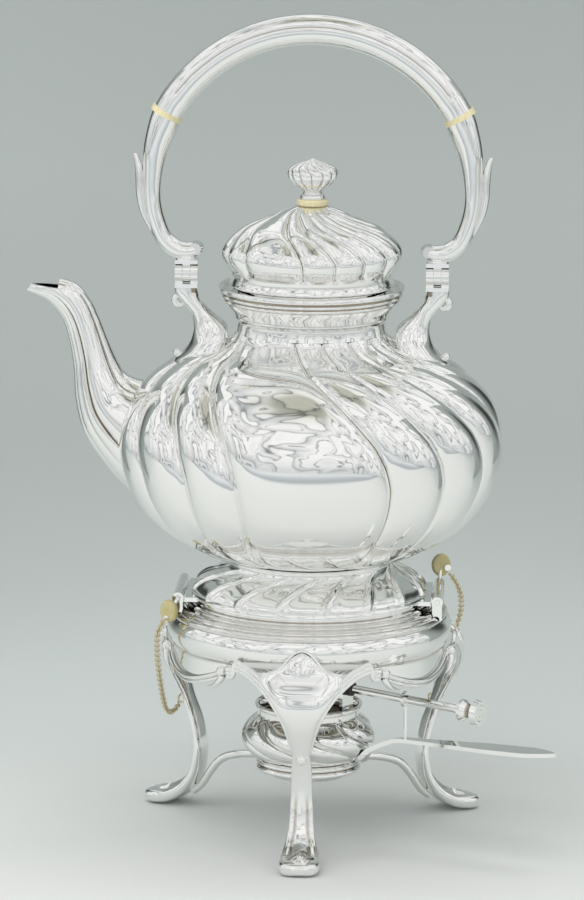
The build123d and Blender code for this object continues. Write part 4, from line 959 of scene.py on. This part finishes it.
@dataclass
class Bail:
    """Arched grip between ivory discs, on two arms with leaf spurs."""

    shop: Workshop
    arch_r: float = 74.4
    arch_z: float = 291.2
    end_angle: float = 30.0
    hinge_x: float = 56.2
    # chased line along each side of the grip: its depth, and its place and width as shares of the half section
    line_depth: float = 0.55
    line_place: float = 0.28
    line_width: float = 0.07

    def build(self) -> None:
        """Build every piece that swings with the bail."""
        self.grip()
        self.arms()
        self.shop.refinish(Finish.IVORY, "left_bail_insulator", "right_bail_insulator")
        self.shop.refinish(Finish.SILVER, "left_upper_leaf", "right_upper_leaf", "left_bail_pin", "right_bail_pin")

    def grip(self) -> None:
        """Polished grip with a chased line along each side, ending in a drop."""
        sweep = 180.0 - 2.0 * self.end_angle

        def surface(u: float, v: float) -> Vector:
            """Point of the grip, u round its section and v along the arch."""
            a = 2 * math.pi * u
            along = math.radians(self.end_angle + sweep * v)
            ease = smooth_step(min(v, 1.0 - v), 0.0, 0.05)
            half_r, half_y = 6.75 + 0.2 * ease, 7.2 + 0.2 * ease
            line = self.line_depth * smooth_step(min(v, 1.0 - v), 0.04, 0.07)
            side, height = abs(math.sin(a)), math.cos(a)
            groove = line * math.exp(-(((height - self.line_place) / self.line_width) ** 2)) * (side > 0.3)
            r = self.arch_r + (half_r - groove) * height
            return Vector((r * math.cos(along), (half_y - groove) * math.sin(a), self.arch_z + r * math.sin(along)))

        piece = formed("arched_grip", 96, 160, surface)
        self.shop.dress(finish_mesh(piece, 60), "bail", "grip")

    def arms(self) -> None:
        """Arms that narrow, curl under and end in a scroll over the hinge."""
        # x, z, half thickness, half width and lean in degrees at each station down the arm
        stations = Track([
            (-64.4, 328.4, 6.9, 7.2, 30.0), (-66.9, 321.8, 6.8, 7.1, 24.0), (-70.0, 311.5, 5.6, 6.5, 12.0),
            (-71.2, 301.0, 4.4, 5.8, 3.0), (-71.5, 290.0, 3.8, 5.2, -4.0), (-69.9, 280.2, 3.8, 5.1, -20.0),
            (-66.2, 271.2, 4.0, 5.1, -48.0), (-61.0, 266.7, 4.1, 5.2, -74.0), (-56.0, 265.7, 3.8, 5.1, -92.0),
            (-52.2, 266.4, 3.3, 4.6, -108.0),
        ])

        def surface(u: float, v: float) -> Vector:
            """Point of the arm, u round its section and v down it."""
            x, z, half_t, half_y, lean = stations.share(v)
            a, tilt = 2 * math.pi * u, math.radians(lean)
            out = Vector((-math.cos(tilt), 0.0, math.sin(tilt)))
            ridge = 1.0 + 0.12 * smooth_step(v, 0.15, 0.4) * max(0.0, math.cos(a)) ** 8
            return Vector((x, 0.0, z)) + out * half_t * math.cos(a) * ridge + Vector((0, half_y * math.sin(a), 0))

        arm = formed("arm_bar", 48, 110, surface)
        spine = Track([
            (-71.6, 274.6), (-75.2, 282.0), (-76.9, 290.0), (-77.4, 299.0), (-78.2, 305.0), (-79.6, 309.4),
        ])

        def leaf(u: float, v: float) -> Vector:
            """Point of the spur, u round its section and v up it."""
            x, z = spine.share(v)
            half_x = 0.5 + 1.5 * math.sin(math.pi * min(0.97, 0.1 + 0.85 * v)) ** 0.7
            half_y = 0.4 + 2.6 * math.sin(math.pi * min(0.97, 0.25 + 0.72 * v))
            a = 2 * math.pi * u
            return Vector((x - half_x * math.cos(a), half_y * math.sin(a), z))

        spur = formed("arm_spur", 24, 40, leaf)
        scroll = bar(
            "arm_scroll", [(-52.2, -4.4, 266.9), (-51.6, 0.0, 266.7), (-52.2, 4.4, 266.9)], [2.7, 3.4, 2.7],
        )
        post_knots: list[Knot] = [
            (0.0, 261.7, CORNER), (4.8, 261.7, CORNER), (4.9, 262.4), (4.3, 263.4), (4.2, 266.5), (0.0, 267.5),
        ]
        post = turned("arm_post", post_knots, 40)
        post.data.transform(Matrix.Translation((-self.hinge_x, 0.0, 0.0)))
        left = joined("left_bail_arm", [arm, spur, scroll, post])
        right = moved_copy(left, "right_bail_arm", MIRROR_X)
        self.shop.dress(finish_mesh(left), "bail", "left_arm")
        self.shop.dress(finish_mesh(right), "bail", "right_arm")


# ---- Stand ----------------------------------------------------------------------------------


@dataclass
class Stand:
    """Ring, apron and three cabriole legs, with the holder for the lamp."""

    shop: Workshop
    leg_turns: dict[str, float] = field(default_factory=lambda: {"front": 0.0, "right": 120.0, "left": -120.0})
    ball_turn: float = 34.4
    ball_z: float = 85.2
    roll_low_z: float = 88.0
    swag_low_z: float = 78.2
    band_r: float = 62.6
    bulge: float = 1.8
    wall: float = 1.1
    # height above the swag's line, radius of the wire, and its distance from the axis
    swag_wires: tuple[tuple[float, float, float], ...] = ((-0.4, 1.15, 62.6), (-2.5, 0.85, 62.2))
    swag_steps: int = 12
    swag_bead_r: float = 2.3
    leg_bead: tuple[float, float, float] = (0.0, -66.4, 48.4)
    leg_bead_r: float = 2.4
    rod_r: float = 1.9

    def build(self) -> None:
        """Build every piece of the stand."""
        self.ring()
        self.band()
        self.borders()
        self.legs()
        self.holder()
        self.shop.refinish(Finish.SILVER, "left_stand_knuckles", "right_stand_knuckles")
        self.shop.refinish(Finish.CHAIN, "left_chain", "right_chain", "chain_eyes")

    def ring(self) -> None:
        """Seat with three rounded mouldings stepping down outside it."""
        _, top, _ = self.shop.levels("stand_ring")
        knots: list[Knot] = [
            (44.0, top - 2.4, CORNER), (44.0, top - 0.1, CORNER), (53.6, top - 0.1, CORNER), (54.8, top - 0.3),
            (56.2, top - 1.0), (56.5, top - 2.4, CORNER), (57.8, top - 1.9), (59.4, top - 2.8),
            (59.6, top - 4.2, CORNER), (60.9, top - 3.9), (62.2, top - 4.9), (62.5, top - 6.0),
            (62.2, top - 6.9, CORNER), (59.8, top - 6.9, CORNER), (53.0, top - 2.5, CORNER),
        ]
        piece = turned("seat_mouldings", knots, 192, closed=True, resolution=5)
        self.shop.dress(finish_mesh(piece, 40), "stand", "stand_ring")

    def edge_z(self, turn: float) -> float:
        """Height of the apron's lower edge at an angle right of the front."""
        from_leg = abs((turn + 60.0) % 120.0 - 60.0)
        if from_leg <= self.ball_turn:
            rise = math.cos(0.5 * math.pi * from_leg / self.ball_turn)
            return self.ball_z + 1.5 * rise
        share = (from_leg - self.ball_turn) / (60.0 - self.ball_turn)
        return self.swag_low_z + (self.ball_z - self.swag_low_z) * (1.0 - math.sin(0.5 * math.pi * share))

    def band(self) -> None:
        """Bulging apron that turns under to a plain plate, cut to swags along its lower edge."""
        _, top, _ = self.shop.levels("stand_band")
        plate_rows, widest = 0.3, 0.6

        def surface(u: float, v: float) -> Vector:
            """Point of the apron's face, u round it and v up it."""
            turn = 360.0 * u
            bottom = self.edge_z(turn)
            if v < plate_rows:
                return round_axis(turn, self.band_r - 1.0, bottom + (self.roll_low_z - bottom) * v / plate_rows)
            height = (v - plate_rows) / (1.0 - plate_rows)
            if height < widest:
                tuck = (1.0 + self.bulge) * (1.0 - height / widest) ** 2.2
            else:
                tuck = (0.2 + self.bulge) * ((height - widest) / (1.0 - widest)) ** 2
            z = self.roll_low_z + (top - self.roll_low_z) * height
            return round_axis(turn, self.band_r + self.bulge - tuck, z)

        piece = formed("apron", 360, 30, surface, capped=False)
        give_wall(piece, self.wall)
        self.shop.dress(finish_mesh(piece), "stand", "stand_band")

    def borders(self) -> None:
        """Swag moulding and its beads, with a small leaf under each bead."""
        pieces: list[Object] = []
        for name, leg_turn in self.leg_turns.items():
            middle = leg_turn + 60.0
            half = 60.0 - self.ball_turn
            turns = [middle - half + 2 * half * n / self.swag_steps for n in range(self.swag_steps + 1)]
            for offset, radius, r in self.swag_wires:
                points = [round_axis(t, r, self.edge_z(t) + offset) for t in turns]
                pieces.append(bar(f"swag_{name}", points, [radius] * len(points)))
            for side in (-1, 1):
                at = middle + side * half
                pieces.append(bead(round_axis(at, 64.6, self.ball_z), self.swag_bead_r, 20, 14))
                leaf = [(0.6, 64.6, -1.6), (-0.8, 64.8, -4.4), (-4.0, 64.4, -7.2), (-8.0, 63.8, -8.6)]
                points = [round_axis(at + side * turn, r, self.ball_z + rise) for turn, r, rise in leaf]
                pieces.append(bar(f"leaf_{name}", points, [1.6, 1.5, 1.0, 0.2]))
        piece = joined("swag_mouldings", pieces)
        self.shop.dress(finish_mesh(piece), "stand", "band_border", "border_balls")

    def legs(self) -> None:
        """Leg with its ornaments, made at the front and copied to the back twice."""
        ornaments = [*self.reeds(), *self.knee_lines(), self.shell(), bead(self.leg_bead, self.leg_bead_r)]
        front = joined("cabriole_leg_front", [self.leg_bar(), *ornaments])
        self.shop.dress(front, "stand", "leg_front")
        for name in ("right", "left"):
            turn = Matrix.Rotation(math.radians(self.leg_turns[name]), 4, "Z")
            piece = moved_copy(front, f"cabriole_leg_{name}", turn)
            self.shop.dress(finish_mesh(piece, 50), "stand", f"leg_{name}")
        finish_mesh(front, 50)

    def leg_bar(self) -> Object:
        """Cabriole bar that widens to a knee and a rounded foot, with a keel on its shank."""
        # radius, height, half thickness and half width at each station down the leg
        spine = Track([
            (65.0, 97.8, 0.7, 0.5), (65.5, 95.6, 1.2, 5.0), (66.1, 93.2, 1.7, 7.2), (66.8, 90.6, 2.2, 9.8),
            (67.6, 87.6, 2.5, 17.2), (69.6, 83.4, 2.5, 18.0), (72.6, 77.4, 2.3, 13.6), (73.4, 71.4, 2.1, 9.8),
            (71.8, 65.2, 2.0, 7.0), (69.0, 58.8, 2.0, 5.2), (65.6, 51.6, 1.9, 4.0), (61.8, 42.6, 1.9, 4.6),
            (59.4, 33.0, 1.9, 4.8), (59.2, 25.0, 2.0, 5.1), (61.4, 16.4, 2.3, 5.7), (66.4, 9.4, 2.9, 7.2),
            (73.4, 5.0, 3.3, 8.8), (80.0, 3.7, 3.6, 9.2), (85.0, 3.4, 3.0, 7.6), (87.2, 3.2, 1.2, 3.4),
        ])
        keel_from, keel_full, keel_to, keel_end, ankle = 0.62, 0.70, 0.86, 0.93, 0.75

        def surface(u: float, v: float) -> Vector:
            """Point of the leg in front of the axis, u round its section and v down it."""
            r, z, half_t, half_w = spine.share(v)
            ahead, behind = spine.share(min(1.0, v + 0.01)), spine.share(max(0.0, v - 0.01))
            run = Vector((0.0, -(ahead[0] - behind[0]), ahead[1] - behind[1])).normalized()
            out = Vector((0.0, run.z, -run.y))
            foot = v >= ankle
            if out.y > 0 and not foot or out.z < 0 and foot:
                out = -out
            a = 2 * math.pi * u
            c, s = math.cos(a), math.sin(a)
            flat = math.copysign(abs(s) ** 0.55, s)
            crown = math.copysign(abs(c) ** 0.75, c)
            keel = smooth_step(v, keel_from, keel_full) * (1.0 - smooth_step(v, keel_to, keel_end)) * max(0.0, c)
            rise = keel * (1.2 * math.exp(-((flat / 0.22) ** 2)) - 0.9 * math.exp(-(((abs(flat) - 0.55) / 0.25) ** 2)))
            point = Vector((half_w * flat, -r, z)) + out * (half_t * crown + rise)
            point.z = max(point.z, 0.02)
            return point

        return formed("leg_bar", 72, 150, surface)

    def reeds(self) -> list[Object]:
        """Three reeds along each edge, from the knee down to the bead."""
        # across, radius and height of the outermost reed
        edge = Track([
            (34.0, 53.6, 86.6), (30.4, 56.6, 87.2), (26.4, 59.6, 86.2), (22.6, 62.8, 84.4), (18.6, 66.4, 81.4),
            (14.8, 69.2, 77.6), (10.9, 70.8, 72.0), (7.9, 70.0, 65.8), (5.9, 67.6, 59.4), (4.4, 65.0, 53.4),
            (3.4, 63.4, 49.6),
        ])
        stops = 18
        pieces = []
        for side in (-1, 1):
            for rib in range(3):
                points = []
                for n in range(stops + 1):
                    v = n / stops
                    across, r, z = edge.share(v)
                    after, before = edge.share(min(1.0, v + 0.02)), edge.share(max(0.0, v - 0.02))
                    run = Vector((after[0] - before[0], after[2] - before[2])).normalized()
                    pitch = 1.75 - 1.15 * v * v
                    inwards = Vector((run.y, -run.x)) * rib * pitch * (-1.0 if run.y > 0 else 1.0)
                    points.append((side * (across + inwards.x), -(r + 1.4 + 0.25 * rib), z + inwards.y))
                pieces.append(bar("leg_reed", points, [1.15 - 0.6 * n / stops for n in range(stops + 1)]))
        return pieces

    def knee_lines(self) -> list[Object]:
        """Rim of the shield on the knee, the yoke under it and three quills on each side."""
        shield = Track([
            (0.0, 66.2, 98.0), (2.4, 66.4, 97.4), (4.6, 66.8, 95.8), (6.9, 67.4, 93.3), (9.2, 68.2, 90.7),
            (11.6, 69.0, 89.1), (14.2, 69.2, 88.3), (17.4, 68.2, 87.9),
        ])
        rim = both_sides(shield.points(13))
        yoke = both_sides([(0.0, 72.2, 82.3), (4.4, 71.8, 83.2), (7.6, 71.0, 85.4), (9.8, 70.2, 87.8)])
        pieces = [
            bar("shield_rim", rim, [0.7] * len(rim)),
            bar("panel_yoke", yoke, [0.35] + [0.6] * (len(yoke) - 2) + [0.35]),
        ]
        for side in (-1, 1):
            for quill in range(3):
                top_x, low_x = side * (11.6 + 1.6 * quill), side * (9.4 + 0.9 * quill)
                points = [(top_x, -69.8, 87.4 - 0.5 * quill), (low_x + side * 0.5, -71.8, 83.4), (low_x, -73.6, 79.0)]
                pieces.append(bar("knee_quill", points, [0.5, 0.55, 0.15]))
        return pieces

    def shell(self) -> Object:
        """Shell with rays round its lower half, on the knee."""
        middle_z, reach = 90.1, 6.8

        def surface(u: float, v: float) -> Vector:
            """Point of the shell, u round it and v out from its middle."""
            a = 2 * math.pi * u
            radius = reach * v
            ray = smooth_step(-math.sin(a), 0.15, 0.6) * smooth_step(v, 0.45, 0.7)
            height = 2.6 * math.sqrt(max(0.0, 1.0 - 0.93 * v * v)) - 0.45 * ray * (0.5 + 0.5 * math.cos(26.0 * a))
            z = middle_z + radius * math.sin(a)
            face = 69.0 + 0.22 * (middle_z - z)
            return Vector((radius * math.cos(a), -(face - 1.0 + height), z))

        return formed("knee_shell", 104, 24, surface, capped=False)

    def holder(self) -> None:
        """Moulded ring for the lamp, on three curved rods."""
        z, top, r = self.shop.levels("lamp_holder")
        knots: list[Knot] = [
            (r - 3.5, z - 0.6, CORNER), (r - 0.8, z - 0.6), (r + 0.7, z + 0.6), (r - 0.3, (z + top) / 2, CORNER),
            (r + 0.6, top - 1.2), (r - 1.4, top, CORNER), (r - 3.5, top, CORNER),
        ]
        ring = turned("holder_ring", knots, 96, closed=True, resolution=5)
        self.shop.dress(finish_mesh(ring), "stand", "lamp_holder")
        path = [(22.4, 30.6), (31.0, 29.8), (40.0, 28.0), (47.5, 24.8), (53.2, 18.6), (59.0, 10.6), (63.0, 7.6)]
        rods = [
            bar("stretcher", [round_axis(turn, r, z) for r, z in path], [self.rod_r] * len(path), 6)
            for turn in self.leg_turns.values()
        ]
        self.shop.dress(finish_mesh(joined("stretcher_rods", rods)), "stand", "stretchers")


# ---- Hinge pins -----------------------------------------------------------------------------


@dataclass
class HingePins:
    """Pull-out pins with their ivory thumbpieces."""

    shop: Workshop

    def build(self) -> None:
        """Finish the pins, thumbpieces and rivets."""
        for side in ("left", "right"):
            self.shop.refinish(Finish.SILVER, f"{side}_pin", f"{side}_thumb_rivet")
            self.shop.refinish(Finish.THUMB_IVORY, f"{side}_thumbpiece")


# ---- Lamp -----------------------------------------------------------------------------------


@dataclass
class Lamp:
    """Swirled spirit lamp with its handle, wick and regulator."""

    shop: Workshop
    first_edge: float = 12.0
    lobe_count: int = 8
    wall: float = 1.0

    def build(self) -> None:
        """Build every piece of the lamp."""
        self.bowl()
        self.rim()
        self.shop.refinish(
            Finish.SILVER, "rod_bracket", "lamp_handle", "rod_eye", "regulator_rod", "regulator_knob",
        )
        self.shop.refinish(Finish.SPOUT_INSIDE, "burner_plate", "wick_tube")
        self.shop.refinish(Finish.COLLAR, "rod_bearing")
        self.shop.refinish(Finish.WICK, "wick")

    def bowl(self) -> None:
        """Squat bowl with swirled lobes."""
        z, top, _ = self.shop.levels("lamp_bowl")
        knots: list[Knot] = [
            (0.0, z, CORNER), (17.4, z, CORNER), (19.3, z + 2.0), (19.4, z + 7.6, CORNER), (21.8, z + 7.9),
            (26.4, z + 10.2), (29.6, z + 14.0), (30.6, z + 18.2), (29.4, z + 22.2), (26.4, z + 25.6),
            (23.4, top - 0.6), (23.0, top, CORNER),
        ]
        lobes = Lobes(
            even_turns(self.first_edge, self.lobe_count), 26,
            Table([(z + 7.6, 0.0), (z + 10.0, 1.0), (z + 18.0, 1.9), (z + 24.0, 1.3), (top, 0.2)]),
            Table([(z + 8.0, 50.0), (z + 13.0, 30.0), (z + 18.0, 8.0), (z + 24.0, -10.0), (top, -18.0)]),
            fullness=3.6, notch=0.7,
        )
        self.shop.raise_silver("lamp_font", knots, lobes, 5, self.wall, "lamp", "lamp_bowl")

    def rim(self) -> None:
        """Upright rim with a rolled edge."""
        z, top, r = self.shop.levels("lamp_rim")
        knots: list[Knot] = [
            (21.9, z, CORNER), (23.1, z, CORNER), (23.2, z + 2.6, CORNER), (r - 0.5, z + 2.9), (r, z + 3.8),
            (r - 0.5, top - 0.2), (r - 1.4, top - 0.1), (22.3, z + 3.4, CORNER),
        ]
        piece = turned("font_rim", knots, 120, closed=True, resolution=5)
        self.shop.dress(finish_mesh(piece), "lamp", "lamp_rim")


# ---- Studio ---------------------------------------------------------------------------------


@dataclass
class Studio:
    """Pale sweep, soft light from above and both sides, and the camera."""

    distance: float = 2335.0
    height: float = 647.0
    turn: float = 2.7
    pitch: float = 11.42
    # focal length and sideways offset of the axis, in pixels of the picture
    focal: float = 5288.0
    axis_offset: float = 19.0
    roll: float = 0.4
    room_strength: float = 1.0
    sweep_width: float = 5600.0
    sweep_front: float = -2600.0
    sweep_length: float = 5200.0
    sweep_bend: float = 900.0
    sweep_radius: float = 700.0
    fibre_pitch: float = 1.1111
    # the sweep's colours run along Y, from and to these distances in metres;
    # they darken towards the back, painted shade where the light falls off, and a dark band out of view in front is
    # there for the silver to mirror
    sweep_from: float = -2.0
    sweep_to: float = 1.7
    sweep_painted_shades: Shades = (
        (0.0, "#dfe2e3"), (0.2, "#c9cdd0"), (0.36, "#9aa0a4"), (0.385, "#cfd1cf"), (0.5135, "#cccecc"),
        (0.607, "#bcc2c0"), (0.735, "#b4bab8"), (0.8865, "#aab0ae"), (0.96, "#979d9b"),
    )
    # each card: its nearest edge, how far it spreads outwards, its depth and its height
    card_x: float = 430.0
    card_spread: float = 130.0
    card_front: float = 150.0
    card_depth: float = 700.0
    card_low: float = 5.0
    card_height: float = 620.0
    card_shades: Shades = ((0.0, "#b4b9b7"), (0.15, "#a9aeac"), (0.6, "#4a4c4b"), (1.0, "#3a3c3b"))
    room_shades: Shades = (
        (0.0, "#dfe2e3"), (0.1, "#eef0f0"), (0.3, "#ffffff"), (0.9, "#ffffff"), (0.955, "#f2f2ec"),
        (0.975, "#c6c6ba"), (1.0, "#c2c2b6"),
    )
    room_seams: Shades = (
        (0.0, "#e9e9e6"), (0.40, "#ffffff"), (0.452, "#f2f2f2"), (0.466, "#7f8487"), (0.48, "#d3d6d7"),
        (0.56, "#f4f4f4"), (0.585, "#ffffff"), (0.597, "#8d9295"), (0.609, "#ffffff"), (1.0, "#dfe1e1"),
    )
    # name, place, size, power in watts and target, in metres
    soft_boxes: tuple[tuple[str, tuple[float, ...], tuple[float, float], float, tuple[float, ...]], ...] = (
        ("overhead", (-0.25, -0.75, 1.7), (1.3, 0.9), 9.5, (0.0, 0.0, 0.19)),
        ("left_box", (-1.7, -0.9, 1.1), (0.8, 1.5), 8.5, (0.0, 0.0, 0.19)),
        ("right_box", (1.6, -1.2, 0.9), (0.5, 1.3), 5.5, (0.0, 0.0, 0.19)),
        ("front_box", (-0.5, -2.3, 1.5), (0.9, 0.7), 5.5, (0.0, 0.0, 0.19)),
        ("backdrop_box", (0.0, 0.35, 2.3), (2.4, 0.5), 18.0, (0.0, 1.55, 0.45)),
    )

    def build(self) -> None:
        """Build the floor, the light and the camera."""
        self.floor()
        self.flags()
        self.world()
        self.lamps()
        self.camera()

    def stage(self, name: str, counts: tuple[int, int], surface: Surface, recipe: Recipe) -> None:
        """Form a sheet of the studio, which is no part of the object.

        Args:
            name: the sheet's name.
            counts: faces along its two parameters.
            surface: point of the sheet for two shares from 0 to 1.
            recipe: its material.
        """
        sheet = formed(name, *counts, surface, capped=False)
        sheet.data.materials.append(recipe.material)
        finish_mesh(sheet)

    def floor(self) -> None:
        """Paper sweep that runs from the table up behind the object."""
        recipe = Recipe("paper_sweep")
        # The sweep darkens towards the back: painted shade of the light falling off.
        recipe.ramp_colours(recipe.mapped(recipe.axis("Y"), self.sweep_from, self.sweep_to), self.sweep_painted_shades)
        recipe.bump(recipe.noise(self.fibre_pitch), 0.05, 0.2)
        recipe.give({"Roughness": 0.85})

        def surface(u: float, v: float) -> Vector:
            """Point of the sweep, u across it and v from front to back."""
            run = self.sweep_length * v + self.sweep_front
            bend, radius = self.sweep_bend, self.sweep_radius
            x = (u - 0.5) * self.sweep_width
            if run < bend:
                return Vector((x, run, 0.0))
            arc = (run - bend) / radius
            if arc < math.pi / 2:
                return Vector((x, bend + radius * math.sin(arc), radius * (1 - math.cos(arc))))
            return Vector((x, bend + radius, radius + (arc - math.pi / 2) * radius))

        self.stage("sweep", (8, 120), surface, recipe)

    def flags(self) -> None:
        """Dark cards just outside the view, soft-edged, which draw the edges of polished pieces."""
        recipe = Recipe("black_card")
        front = self.card_front * MM
        height = recipe.mapped(recipe.axis("Z"), 0.0, self.card_height * MM, -1.0, 1.0)
        depth = recipe.mapped(recipe.axis("Y"), front, front + self.card_depth * MM, -1.0, 1.0)
        from_middle = add_node(recipe.tree, "ShaderNodeCombineXYZ", links={"X": height, "Y": depth})
        place = from_middle.outputs["Vector"]
        fade = add_node(recipe.tree, "ShaderNodeTexGradient", {"gradient_type": "SPHERICAL"}, {"Vector": place})
        recipe.ramp_colours(fade.outputs["Fac"], self.card_shades)
        recipe.give({"Roughness": 0.9})
        for name, side in (("left_flag", -1), ("right_flag", 1)):

            def surface(u: float, v: float) -> Vector:
                """Point of the card, u away from the view and v up it."""
                x = side * (self.card_x + self.card_spread * u)
                return Vector((x, self.card_front + self.card_depth * u, self.card_low + self.card_height * v))

            self.stage(name, (2, 2), surface, recipe)

    def world(self) -> None:
        """Room light: white walls with a beige ceiling and dark seams, which polished metal shows as lines."""
        world = bpy.data.worlds.new("room")
        bpy.context.scene.world = world
        world.use_nodes = True
        tree = world.node_tree
        background = tree.nodes["Background"]
        direction = add_node(tree, "ShaderNodeTexCoord").outputs["Generated"]
        split = add_node(tree, "ShaderNodeSeparateXYZ", links={"Vector": direction})
        ramp = add_node(tree, "ShaderNodeValToRGB", links={"Fac": split.outputs["Z"]})
        set_ramp(ramp, self.room_shades)
        patches = add_node(
            tree, "ShaderNodeTexNoise", {"Scale": 2.6, "Detail": 1.5, "Distortion": 0.6}, {"Vector": direction}
        )
        seams = add_node(tree, "ShaderNodeValToRGB", links={"Fac": patches.outputs["Fac"]})
        set_ramp(seams, self.room_seams)
        room = add_node(tree, "ShaderNodeMix", {"data_type": "RGBA", "blend_type": "MULTIPLY", "Factor": 1.0})
        tree.links.new(ramp.outputs["Color"], room.inputs[MIX_FIRST])
        tree.links.new(seams.outputs["Color"], room.inputs[MIX_SECOND])
        tree.links.new(room.outputs[MIX_RESULT], background.inputs["Color"])
        background.inputs["Strength"].default_value = self.room_strength

    def lamps(self) -> None:
        """Soft boxes overhead, at each side, in front and over the backdrop, which the metal doesn't mirror."""
        for name, place, size, power, target in self.soft_boxes:
            lamp = bpy.data.lights.new(name, "AREA")
            lamp.shape = "RECTANGLE"
            lamp.size, lamp.size_y = size
            lamp.energy = power
            holder = bpy.data.objects.new(name, lamp)
            bpy.context.collection.objects.link(holder)
            holder.location = place
            aim = Vector(target) - Vector(place)
            holder.rotation_euler = aim.to_track_quat("-Z", "Y").to_euler()
            holder.visible_glossy = False

    def camera(self) -> None:
        """Long lens, slightly above and to the right of the front."""
        lens = bpy.data.cameras.new("camera")
        lens.sensor_fit = "VERTICAL"
        lens.sensor_height = 36.0
        lens.lens = self.focal / IMAGE_HEIGHT * lens.sensor_height
        lens.clip_end = 20.0
        holder = bpy.data.objects.new("camera", lens)
        bpy.context.collection.objects.link(holder)
        a = math.radians(self.turn)
        holder.location = Vector((self.distance * math.sin(a), -self.distance * math.cos(a), self.height)) * MM
        yaw = a + math.atan(self.axis_offset / self.focal)
        turn = Matrix.Rotation(yaw, 4, "Z") @ Matrix.Rotation(math.radians(90.0 - self.pitch), 4, "X")
        turn = turn @ Matrix.Rotation(math.radians(self.roll), 4, "Z")
        holder.rotation_euler = turn.to_euler()
        bpy.context.scene.camera = holder
        bpy.context.scene.view_settings.view_transform = "Standard"


def main() -> None:
    """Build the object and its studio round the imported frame."""
    logging.basicConfig(level=logging.INFO, format="%(message)s")
    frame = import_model()
    shop = Workshop(frame)
    for part in (Kettle(shop), Lid(shop), Bail(shop), Stand(shop), HingePins(shop), Lamp(shop), Studio()):
        part.build()


if __name__ == "__main__":
    main()
